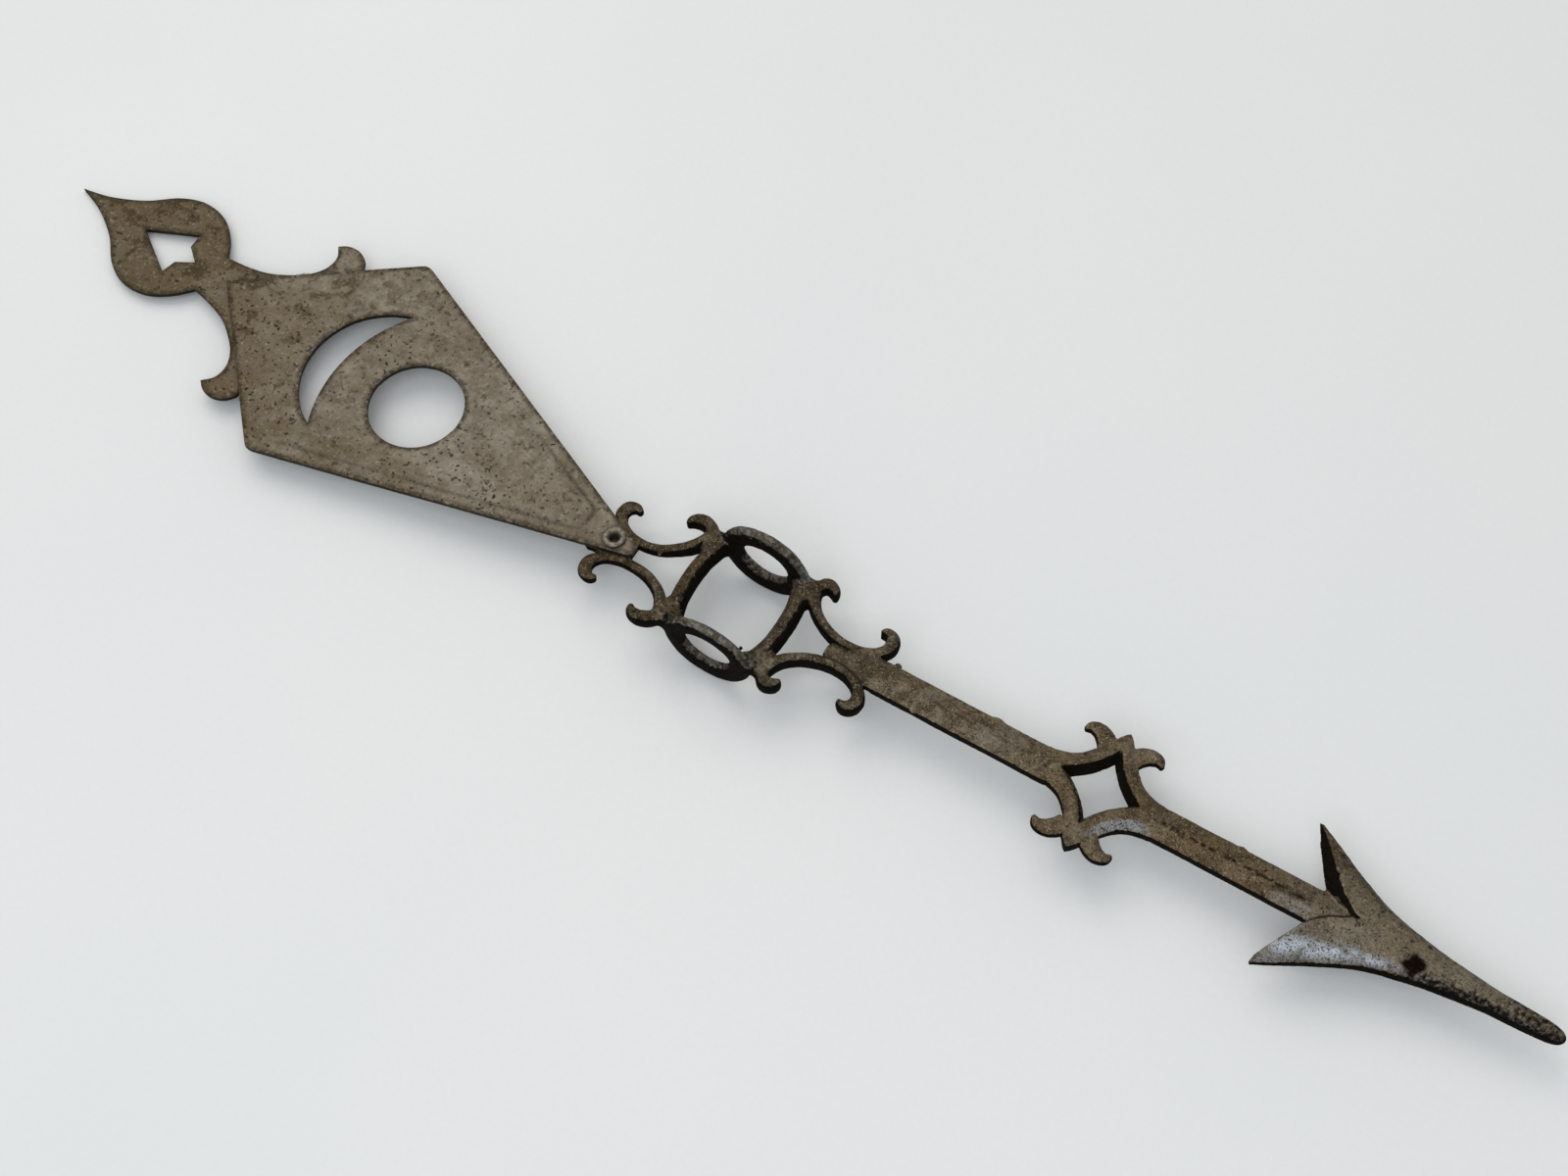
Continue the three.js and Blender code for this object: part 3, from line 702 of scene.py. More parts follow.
def notch():
    sections = []
    for z in (HEAD_BACK - NOTCH_MARGIN, HEAD_CROWN + NOTCH_MARGIN):
        lean = (z - HEAD_BACK) / (HEAD_CROWN - HEAD_BACK)
        wall = notch_wall(lean)
        wall[0] = (wall[0][0] - 0.3, wall[0][1] + 1.9)
        reach = wall[-1][1]
        outline = [(NOTCH_REAR_X, 0), (NOTCH_REAR_X, -reach)] + LOWER_WALL[::-1] + wall
        outline.append((NOTCH_REAR_X, reach))
        sections.append([(x, y, z) for x, y in outline])
    return loft(sections)


def arrowhead():
    stations = spline(HEAD_STATIONS, 60)
    dome = outward_mesh(loft([head_section(*s) for s in stations]), "dome")
    tool = in_scene("notch", outward_mesh(notch(), "notch"))
    result = modified(dome, "BOOLEAN", object=tool, operation="DIFFERENCE", solver="EXACT")
    bpy.data.objects.remove(tool)
    return mesh_points(result), [list(p.vertices) for p in result.polygons]


def barb_tips():
    """The barbs end bluntly."""
    return [ellipsoid((205.2, sign * 26.0, 0.2), (0.9, 1.6, 1.3), sign * 0.42) for sign in (1, -1)]


def barb_lips():
    """The thin raised lines where the barbs' rear walls run out over the shaft."""
    upper = [(215, 6.8, 0.4), (219.6, 4.4, 0.6), (223.9, 2.8, 0.6), (227, 2.2, 0.4)]
    lower = [(213.0, -6.0, 0.4), (215.4, -4.2, 0.65), (219.2, -1.2, 0.65), (225.2, 1.6, 0.5)]

    def heights(x):
        return 1.0, float(np.interp(x, [212.9, 227], [2.9, 4.6]))

    return [swept_bar(line, 24, heights, 2) for line in (upper, lower)]


def tongue():
    outline = symmetric_outline([(-11, 3.7), (-8, 6.2), (5, 5.2), (8, 3.6)])
    hole = circle(0, TONGUE_HOLE_RADIUS, 24)
    low = TONGUE_TOP - TONGUE_THICKNESS
    points, faces = sheet_metal(outline, [hole], low, TONGUE_TOP, 0.4, 1.2)[0]
    return moved(points, TONGUE), faces


def casting_burrs():
    """Flash and blobs left by the foundry: centre and half sizes."""
    lumps = [
        ((58.6, 6.6, 1.2), (1.4, 1.0, 0.9)),
        ((-33, 3.1, -1.6), (0.9, 0.8, 0.9)),
        ((10.2, -14.6, 1.6), (0.8, 0.8, 0.9)),
        ((186, 6.0, 2.2), (1.6, 0.5, 0.4)),
        ((97, 6.1, 2.3), (2.2, 0.5, 0.4)),
        ((71, -6.1, 1.6), (1.2, 0.6, 0.5)),
    ]
    return [ellipsoid(centre, radii) for centre, radii in lumps]


def casting_solids():
    """Everything that is cast in one, as solids that run into each other."""
    return [
        rod_ring(1, RING_INNER_Y, RING_OUTER_Y),
        rod_ring(-1, LOWER_RING_INNER_Y, LOWER_RING_OUTER_Y, LOWER_RING_SQUASH),
        cage_bar(1), cage_bar(-1), *cage_fillets(), *scrolls(), shaft_root(),
        shaft(SHAFT_START_X, DIAMOND_X - SHAFT_TO_DIAMOND),
        shaft(DIAMOND_X + SHAFT_TO_DIAMOND, SHAFT_END_X),
        *diamond(), arrowhead(), *barb_tips(), *barb_lips(), tongue(), *casting_burrs(),
    ]


def welded(points, edges):
    """Fillets the four corners where the cage's bars, rings and scrolls flow together."""
    corner = np.abs(points[:, :2]) - CAGE_CORNER
    near = step(7.5, 3.5, np.linalg.norm(corner, axis=1))[:, None]
    for _ in range(WELD_ROUNDS):
        points = points + near * (neighbour_mean(points, edges) - points)
    return points


# Across the arrow, the ways that walls face where painted shade is darkest, and how dark the
# opposite walls are painted.
SHADE_SIDE = np.array((0.45, -0.89))
LIT_SIDE_SHADE = 0.4
CAGE_SHADE_SIDE = np.array((0.83, -0.56))
BARB_WALL_SIDE = np.array((-0.77, -0.64))


def sand_pits(points):
    patches = field(points, 26, 2, (2, 9, 4))
    return step(0.42, 0.75, field(points, 1.5, 2, (5, 5, 8))) * step(-0.1, 0.5, patches)


def shaft_seam(points, normals):
    """The broken line of pits along the top of the shaft."""
    x, y = points.T[:2]
    wander = y - 0.5 * field(points, 14, 1, (6, 0, 6))
    front_shaft = step(152, 160, x) * step(216, 208, x)
    rear_shaft = step(58, 64, x) * step(116, 110, x)
    seam = np.exp(-(wander / 0.75) ** 2) * (front_shaft + 0.35 * rear_shaft)
    return seam * step(-0.15, 0.2, field(points, 1.7, 2, (1, 8, 2))) * (normals[:, 2] > 0.5)


def wall_shade_and_grime(points, normals):
    """Painted shade, partly grime, on tilted faces, darkest on the side away from the light; painted
    shade on the neck's side away from the light; and darker round the tip.
    """
    x = points[:, 0]
    rounder = step(62, 56, np.abs(x))
    tilted = 1 - np.abs(normals[:, 2])
    wall = step(0.14, 0.46, tilted) * (1 - rounder) + step(0.24, 0.62, tilted) * rounder
    facing = normals[:, :2] @ SHADE_SIDE
    wall *= LIT_SIDE_SHADE + (1 - LIT_SIDE_SHADE) * step(-0.75, 0.35, facing)
    neck = step(228, 262, x) * step(-0.15, 0.55, facing + 0.12 * field(points, 6, 3))
    wall = np.maximum(wall, 0.68 * neck)
    return np.maximum(wall, 0.55 * step(258, 292, x))


def upper_barb_wall(points, normals):
    """1 on the rear wall of the upper barb, which is painted near-black as shade."""
    x, y = points.T[:2]
    in_notch = step(232, 230, x) * step(197, 199, x) * (y > 0.4)
    return in_notch * step(0.18, 0.42, normals[:, :2] @ BARB_WALL_SIDE)


def cage_and_ring_shade(points, normals, wall, ring_zone):
    """Painted shade: the walls' shade, more on the cage's side away from the light, and the rings
    dark all over except their rims and bore floors, which are painted as lit.
    """
    reach = np.abs(points[:, :2])
    cage = step(24, 21.5, reach[:, 0]) * step(17.5, 14.5, reach[:, 1])
    wall = np.maximum(wall, cage * step(0.02, 0.62, normals[:, :2] @ CAGE_SHADE_SIDE))
    around = points[:, [0, 2]] / np.linalg.norm(points[:, [0, 2]], axis=1)[:, None]
    outward = np.sum(normals[:, [0, 2]] * around, axis=1)
    # Painted light: the rings' upper outer rims and bore floors stay lighter, and the rest of each
    # ring is painted shade.
    rim = step(0.30, 0.72, outward) * step(-0.25, 0.05, around[:, 1])
    bore_floor = step(-0.3, -0.7, outward) * step(-0.1, -0.45, around[:, 1])
    rim *= 1 - 0.6 * step(-10, -15, points[:, 0])
    ring_wall = 0.96 * (1 - rim) * (1 - 0.55 * bore_floor)
    return wall + ring_zone * (ring_wall - wall)


def polished(points, normals, across, barb_zone):
    """Painted sheen, a bluish reflection: a band on the lower barb, a flank of the diamond and the
    barb's end.
    """
    x, y = points.T[:2]
    band = np.exp(-((across - 0.73) / 0.17) ** 2)
    barb = band * barb_zone * (0.25 + 0.75 * step(256, 228, x))
    flank = step(0.05, 0.20, -normals[:, 1]) * step(0.62, 0.36, -normals[:, 1])
    flank *= step(138, 144, x) * step(160, 152, x) * 0.5
    flank *= step(-2, -5, y) * step(-18.5, -16, y)
    facet = 0.25 * step(198, 206, x) * step(217, 212, x)
    facet *= step(-1.5, -2.5, y) * (across < 1)
    cloudy = step(-0.5, 0.2, field(points, 4, 4, (9, 1, 5)))
    polish = np.maximum(np.maximum(barb, flank), facet) * (0.35 + 0.65 * cloudy)
    return polish * step(0.6, 0.8, normals[:, 2])


def painted_soot_and_shade(points, normals, across, barb_zone):
    """Dull brown soot about the cage and scrolls, and painted shade on the neck's far end, more on
    its side away from the light, and at the barbs' edges.
    """
    x, y = points.T[:2]
    flank_side = step(-0.1, 0.5, normals[:, :2] @ SHADE_SIDE)
    dim = step(245, 280, x) * (0.35 + 0.65 * flank_side)
    dim = np.maximum(dim, step(0.6, 0.95, np.abs(across)) * barb_zone)
    dim = np.maximum(dim, step(212, 205, x) * step(20, 25, np.abs(y)))
    return np.clip(step(66, 52, np.abs(x)) + dim, 0, 1)


def casting():
    """The casting, remeshed into one skin, with a rough surface and the masks of its material."""
    rough = mesh_from(*joined(casting_solids()), "casting")
    mesh = modified(rough, "REMESH", mode="VOXEL", voxel_size=CASTING_VOXEL)
    edges = rows_of(mesh.edges, "vertices", 2, int)
    points = smoothed(mesh_points(mesh), edges, 3)
    points = relaxed(points, edges, 1)
    points = welded(points, edges)
    move_vertices(mesh, points)
    normals = mesh_normals(mesh)

    pits, seam = sand_pits(points), shaft_seam(points, normals)
    lumps, sand = field(points, 9, 2), field(points, 2.2, 3, (7, 3, 1))
    relief = 0.10 * lumps + 0.07 * sand - 0.28 * pits - 0.45 * seam
    move_vertices(mesh, points + normals * relief[:, None])

    # Concave places, which the material darkens as painted shade.
    hollow = -np.sum((points - relaxed(points, edges, 30)) * normals, axis=1)
    sharp = np.sum((points - relaxed(points, edges, 5)) * normals, axis=1)
    normals = mesh_normals(mesh)
    x, y = points.T[:2]
    barb_wall = upper_barb_wall(points, normals)
    wall = np.maximum(wall_shade_and_grime(points, normals), barb_wall)
    ring_zone = step(15.4, 17.6, np.abs(y)) * step(20, 16.5, np.abs(x))
    wall = cage_and_ring_shade(points, normals, wall, ring_zone)
    # The groove below is a painted shade line along the crease at the lower barb's rear wall.
    there_and_back = np.array(LOWER_WALL[:5] + LOWER_WALL[3:0:-1])
    groove = step(0.75, 0.35, edge_distance(points[:, :2], [there_and_back]))
    from_rust = np.linalg.norm(points - np.array(RUST_SPOT), axis=1)
    from_rust += 1.6 * field(points, 2.4, 2, (4, 4, 4))
    stations = np.array(HEAD_STATIONS)
    across = -y / np.interp(x, stations[:, 0], stations[:, 1])
    barb_zone = step(202, 212, x) * (1 - step(20, 24, np.abs(y)) * 0.7)
    set_masks(
        mesh,
        # Painted shade in the hollows.
        hollow=np.clip(hollow * 1.4 - 0.05, 0, 1),
        edge=np.clip(sharp * 7, 0, 1) * (1 - barb_wall),
        # Painted shade on walls and on faces that look down.
        wall=np.maximum(wall, step(0.1, -0.3, normals[:, 2])),
        # Pits, and the painted shade line along the lower barb's rear wall.
        pits=np.clip(pits + seam + 0.8 * groove, 0, 1),
        ring=ring_zone,
        rust=step(4.6, 2.4, from_rust),
        along=x / CASTING_LENGTH,
        # A painted bluish reflection.
        polish=polished(points, normals, across, barb_zone) * (1 - barb_wall),
        # Soot, with painted shade at the neck's end and the barbs' edges.
        sooty=painted_soot_and_shade(points, normals, across, barb_zone),
    )
    return mesh


# ---- Tail plates, drawn from the rivet with their top face at height 0


def kite_half_width(x):
    (nose_x, nose_y), (shoulder_x, shoulder_y) = KITE_NOSE, KITE_SHOULDER
    if x > shoulder_x:
        return nose_y + (shoulder_y - nose_y) * (nose_x - x) / (nose_x - shoulder_x)
    return shoulder_y * (x - KITE_HEEL_X) / (shoulder_x - KITE_HEEL_X)


def kite_outline():
    shoulder_x, shoulder_y = KITE_SHOULDER
    blunt = 2.4
    nose_x, nose_y = KITE_NOSE
    return symmetric_outline([
        (KITE_HEEL_X, 0), (shoulder_x - blunt, kite_half_width(shoulder_x - blunt)),
        (shoulder_x - 0.8, shoulder_y - 0.8), (shoulder_x + 0.8, shoulder_y - 0.6),
        (shoulder_x + blunt, kite_half_width(shoulder_x + blunt)),
        (nose_x - 1, nose_y + 0.3), (nose_x, nose_y - 0.7),
    ])


def kite_field():
    """The line that the raised field follows, inside the border."""
    front_x, shoulder_x = FIELD_FRONT_X, KITE_SHOULDER[0]
    heel_x = KITE_HEEL_X + FIELD_BORDER * 1.53
    return np.array(symmetric_outline([
        (heel_x, 0), (shoulder_x, kite_half_width(shoulder_x) - FIELD_BORDER * 1.32),
        (front_x - 2.6, kite_half_width(front_x - 2.6) - FIELD_BORDER * 1.06),
        (front_x - 0.7, 4.4), (front_x, 2.6),
    ]))


def crescent():
    """Two arcs that meet at the horns."""
    spread = MOON_INNER_X - MOON_OUTER_X
    along = (MOON_OUTER_RADIUS ** 2 - MOON_INNER_RADIUS ** 2 + spread ** 2) / (2 * spread)
    horn_x, horn_y = MOON_OUTER_X + along, math.sqrt(MOON_OUTER_RADIUS ** 2 - along ** 2)
    outer = math.atan2(horn_y, horn_x - MOON_OUTER_X)
    inner = math.atan2(horn_y, horn_x - MOON_INNER_X)
    rows = []
    for centre, radius, start, end, count in (
        (MOON_OUTER_X, MOON_OUTER_RADIUS, outer, 2 * math.pi - outer, 110),
        (MOON_INNER_X, MOON_INNER_RADIUS, 2 * math.pi - inner, inner, 60),
    ):
        for a in np.linspace(start, end, count)[:-1]:
            rows.append((centre + radius * math.cos(a), radius * math.sin(a)))
    return rows


def kite_line(flat):
    """Signed distance inside the field line, and how clearly it is stamped."""
    loop = kite_field()
    distance = edge_distance(flat, [loop])
    distance = np.where(enclosed(flat, [loop]), distance, -distance)
    front = step(-70, -25, flat[:, 0])
    side = np.where(flat[:, 1] < 0, 0.85, 0.2 + 0.8 * front)
    clear = side * (0.15 + 0.85 * step(-132, -110, flat[:, 0]))
    return distance, clear


def kite_relief(flat):
    distance, clear = kite_line(flat)
    raised = FIELD_RELIEF * clear * step(-0.4, 0.9, distance)
    groove = 0.22 * clear * np.exp(-((distance + 0.15) / 0.55) ** 2)
    placed = np.column_stack([flat, np.zeros(len(flat))])
    waves = 0.3 * field(placed, 55, 2, (3, 1, 0)) + 0.05 * field(placed, 7, 2, (8, 2, 0))
    return raised - groove + waves * step(8, -20, flat[:, 0])


def plate_mesh(name, outline, holes, top, edge, relief):
    """A tail plate with the masks that both plates share."""
    low = top - PLATE_THICKNESS
    solid, rim = sheet_metal(outline, holes, low, top, edge, PLATE_SPACING, relief)
    mesh = outward_mesh(solid, name)
    points, up = mesh_points(mesh), mesh_normals(mesh)[:, 2]
    set_masks(
        mesh,
        rim=np.clip(rim / RIM_REACH, 0, 1),
        # The wall and under masks carry painted shade on the edge walls and the underside.
        wall=step(0.25, 0.7, 1 - np.abs(up)),
        under=(up < -0.3).astype(float),
        along=(points[:, 0] - FINIAL_TIP_X) / -FINIAL_TIP_X,
        across=points[:, 1] / KITE_SHOULDER[1] * 0.5 + 0.5,
    )
    return mesh


def kite_plate():
    holes = [circle(ROUND_HOLE_X, ROUND_HOLE_RADIUS, 120), crescent(),
             circle(0, RIVET_SHANK_RADIUS + 0.3, 24)]
    mesh = plate_mesh("kite", kite_outline(), holes, 0, 0.35, kite_relief)
    distance, clear = kite_line(mesh_points(mesh)[:, :2])
    set_masks(mesh, line=clear * np.exp(-((distance + 0.1) / 0.5) ** 2))
    return mesh


def finial_outline():
    flame = spline([(FINIAL_TIP_X, 0), (-250.6, 3.2), (-238, 10), (-228, 18.5), (-219, 22.2),
                    (-208, 21.2), (-199.5, 15.5), (-194, 8.8)], 56)
    scroll = spline([(-194, 8.8), (-186, 10), (-177.5, 12.3), (-170, 16.5), (-164, 21.5),
                     (-160.9, 27), (-161, 32.4), (-164.2, 36.6)], 44)
    curl = spline([(-164.2, 36.6), (-161, 38.9), (-156, 39.5), (-151.4, 37.4),
                   (FINIAL_LAP_X, 34)], 20)
    upper = [tuple(p) for run in (flame, scroll[1:], curl[1:]) for p in run]
    return symmetric_outline(upper)


def star_window():
    """A barbed star: a long point to the rear, two wings and a short point to the front."""
    return symmetric_outline([(-228.5, 0), (-210, 10), (-209.1, 4.2), (-202.9, 0)])


def finial_relief(flat):
    placed = np.column_stack([flat, np.zeros(len(flat))])
    return 0.12 * field(placed, 40, 2, (5, 0, 2)) + 0.05 * field(placed, 6, 2, (1, 6, 0))


def finial_plate():
    top = -PLATE_THICKNESS - LAP_GAP
    return plate_mesh("finial", finial_outline(), [star_window()], top, 0.45, finial_relief)


def roughened(solid, name, size, amount):
    """A small part with an uneven surface."""
    mesh = outward_mesh(solid, name)
    points, normals = mesh_points(mesh), mesh_normals(mesh)
    move_vertices(mesh, points + normals * (amount * field(points, size, 3))[:, None])
    set_masks(mesh, wall=step(0.35, 0.8, 1 - np.abs(mesh_normals(mesh)[:, 2])))
    return mesh


def tail_rivet():
    seat, foot = LAP_GAP, TONGUE_TOP - TONGUE_THICKNESS - WASHER_THICKNESS - 2 * LAP_GAP
    flare, shank, head = RIVET_FOOT_RADIUS, RIVET_SHANK_RADIUS, RIVET_HEAD_RADIUS
    hollow, dish = RIVET_HOLLOW_RADIUS, RIVET_DISH_RADIUS
    profile = [
        (hollow, foot - 1), (flare - 0.5, foot - 0.9), (flare, foot - 0.4), (flare - 0.2, foot),
        (shank, foot + 0.05), (shank, seat), (head - 0.2, seat), (head, seat + 0.25),
        (head - 0.15, seat + 0.6), (head - 0.7, seat + 0.9), (dish, seat + 0.95),
        (dish - 0.5, seat + 0.75), (hollow + 0.35, seat + 0.1), (hollow, seat - 0.5),
        (hollow, (seat + foot) / 2),
    ]
    mesh = roughened(lathe(profile, RIVET_SEGMENTS), "rivet", 1.3, 0.07)
    radius = np.linalg.norm(mesh_points(mesh)[:, :2], axis=1)
    set_masks(mesh, hollow=0.8 * step(dish, hollow + 0.2, radius))
    return mesh


def rivet_washer():
    top = TONGUE_TOP - TONGUE_THICKNESS - LAP_GAP
    low, inner, outer, r = top - WASHER_THICKNESS, RIVET_SHANK_RADIUS + 0.3, WASHER_RADIUS, 0.2
    profile = [
        (inner, low + r), (inner + r, low), (outer - r, low), (outer, low + r), (outer, top - r),
        (outer - r, top), (inner + r, top), (inner, top - r),
    ]
    return roughened(lathe(profile, RIVET_SEGMENTS), "washer", 1.6, 0.05)


def solder_spot():
    """A bead of solder in the corner between the kite's rear edge and the finial's scroll."""
    slope = math.atan2(KITE_SHOULDER[1], KITE_SHOULDER[0] - KITE_HEEL_X)
    centre = (SOLDER_X, kite_half_width(SOLDER_X) + 0.95, -PLATE_THICKNESS + 0.7)
    return roughened(ellipsoid(centre, (3.0, 0.6, 0.65), slope, 24, 40), "solder", 0.9, 0.12)


# ---- Materials


class Shade:
    """A material's node tree, built by short calls, most of which return an output socket."""

    def __init__(self, name):
        self.material = bpy.data.materials.new(name)
        self.material.use_nodes = True
        self.tree = self.material.node_tree
        self.nodes = self.tree.nodes
        self.shader = next(n for n in self.nodes if n.type == "BSDF_PRINCIPLED")
        self.place = self.nodes.new("ShaderNodeTexCoord").outputs["Object"]
        self.colour = None

    def put(self, socket, value):
        if isinstance(value, bpy.types.NodeSocket):
            self.tree.links.new(value, socket)
        elif isinstance(value, tuple) and len(value) == 3:
            socket.default_value = (*value, 1)
        else:
            socket.default_value = value

    def add(self, kind, output, inputs, **settings):
        """A new node with its settings and inputs; returns one of its outputs."""
        node = self.nodes.new(kind)
        for key, value in settings.items():
            setattr(node, key, value)
        for key, value in inputs.items():
            self.put(node.inputs[key], value)
        return node.outputs[output]

    def noise(self, size, detail=4.0, roughness=0.55, distortion=0.0):
        """Noise from 0 to 1 with features of the given size in millimetres."""
        return self.add("ShaderNodeTexNoise", "Fac", {
            "Vector": self.place, "Scale": 1 / (size * MILLIMETRE), "Detail": detail,
            "Roughness": roughness, "Distortion": distortion,
        })

    def mask(self, name):
        """A value that the mesh carries on its vertices, or 0 if it carries none."""
        return self.add("ShaderNodeAttribute", "Fac", {}, attribute_name=name)

    def ramp(self, value, low, high, first=0.0, last=1.0):
        """A smooth rise from first at low to last at high."""
        inputs = dict(enumerate((value, low, high, first, last)))
        return self.add("ShaderNodeMapRange", "Result", inputs, interpolation_type="SMOOTHSTEP")

    def math(self, operation, a, b):
        return self.add("ShaderNodeMath", 0, {0: a, 1: b}, operation=operation)

    def times(self, a, b):
        return self.math("MULTIPLY", a, b)

    def mix(self, amount, a, b):
        inputs = {"Factor": amount, "A": a, "B": b}
        return self.add("ShaderNodeMix", "Result", inputs, data_type="RGBA")

    def lay(self, tint, mask, strength):
        """Lays a tint over the colour so far, as strongly as the mask times the strength."""
        self.colour = self.mix(self.times(mask, strength), self.colour, tint)

    def bump(self, height, distance, normal=None):
        inputs = {"Strength": 1, "Distance": distance * MILLIMETRE, "Height": height}
        if normal is not None:
            inputs["Normal"] = normal
        return self.add("ShaderNodeBump", "Normal", inputs)

    def finish(self, roughness, metallic, normal):
        self.put(self.shader.inputs["Base Color"], self.colour)
        self.put(self.shader.inputs["Roughness"], roughness)
        self.put(self.shader.inputs["Metallic"], metallic)
        self.put(self.shader.inputs["Normal"], normal)
        return self.material


def cast_iron():
    """Brown-grey weathered casting: painted shade in its hollows and on its walls, partly grime on
    the walls, a painted bluish sheen, and rubbed bright on its edges.
    """
    s = Shade("weathered_cast_iron")
    patches = s.ramp(s.noise(34, 3, 0.6), 0.35, 0.68)
    grain = s.noise(1.6, 5, 0.6)
    mottle = s.ramp(s.noise(5.5, 4, 0.65, 0.4), 0.38, 0.62)
    s.colour = s.mix(patches, (0.132, 0.092, 0.050), (0.172, 0.144, 0.104))
    s.lay((0.066, 0.046, 0.026), mottle, 0.75)
    front = s.ramp(s.mask("along"), 0.68, 0.77)
    s.lay((0.240, 0.208, 0.156), front, 0.42)
    cloud = s.ramp(s.noise(7, 4, 0.65, 0.3), 0.36, 0.60, 0.25, 1.0)
    # Dark brown soot about the cage, and painted shade at the neck's end and the barbs' edges.
    sooty = s.times(s.mask("sooty"), cloud)
    s.lay((0.027, 0.018, 0.009), sooty, 0.72)
    edge = s.times(s.ramp(s.mask("edge"), 0.35, 0.9), s.ramp(grain, 0.38, 0.62))
    s.lay((0.23, 0.21, 0.18), edge, 0.40)
    fine = s.noise(0.55, 3, 0.6)
    specks = s.times(s.ramp(fine, 0.53, 0.62), s.ramp(grain, 0.42, 0.58))
    s.lay((0.014, 0.010, 0.007), specks, 0.95)
    dents = s.times(s.ramp(s.noise(1.9, 3, 0.6), 0.60, 0.65), s.ramp(mottle, 0.4, 0.9))
    s.lay((0.022, 0.015, 0.009), dents, 0.8)
    glints = s.times(s.ramp(fine, 0.46, 0.36), s.ramp(grain, 0.58, 0.42))
    s.lay((0.36, 0.315, 0.24), glints, 0.62)
    s.lay((0.010, 0.007, 0.005), s.mask("pits"), 0.95)
    # Painted shade in the hollows.
    hollow = s.ramp(s.mask("hollow"), 0.06, 0.50)
    s.lay((0.012, 0.009, 0.006), hollow, 0.9)
    # Painted bluish sheen, a reflection, on the lower barb and the diamond's flank.
    s.lay((0.44, 0.48, 0.54), s.mask("polish"), s.ramp(fine, 0.62, 0.5))
    ring = s.mask("ring")
    s.lay((0.040, 0.036, 0.030), ring, 0.6)
    silver = s.times(ring, s.ramp(s.noise(1.5, 4, 0.75), 0.47, 0.60))
    worn = s.times(ring, s.ramp(s.noise(9, 3, 0.6), 0.46, 0.60))
    s.lay((0.145, 0.135, 0.112), worn, 0.5)
    s.lay((0.26, 0.245, 0.21), silver, 0.6)
    # Near-black painted shade, partly grime, on walls, undersides, the rings and the upper barb's
    # rear wall, with the rings' rims left lit.
    ragged = s.math("ADD", s.mask("wall"), s.ramp(grain, 0.3, 0.7, -0.22, 0.22))
    soot = s.ramp(ragged, 0.25, 0.75, 0.0, 0.97)
    s.colour = s.mix(soot, s.colour, (0.0038, 0.0029, 0.0021))
    rust = s.mask("rust")
    flecks = s.ramp(s.noise(0.9, 3, 0.6), 0.55, 0.66)
    s.colour = s.mix(rust, s.colour, s.mix(flecks, (0.006, 0.003, 0.002), (0.034, 0.015, 0.007)))
    rough = s.ramp(grain, 0.3, 0.7, 0.34, 0.56)
    rough = s.math("ADD", rough, s.times(soot, 0.3))
    metallic = s.ramp(soot, 0.1, 0.8, 0.60, 0.0)
    normal = s.bump(s.noise(3.4, 6, 0.65), 0.8)
    normal = s.bump(s.noise(0.8, 4, 0.6), 0.2, normal)
    s.shader.inputs["Specular IOR Level"].default_value = 0.02
    return s.finish(rough, metallic, normal)


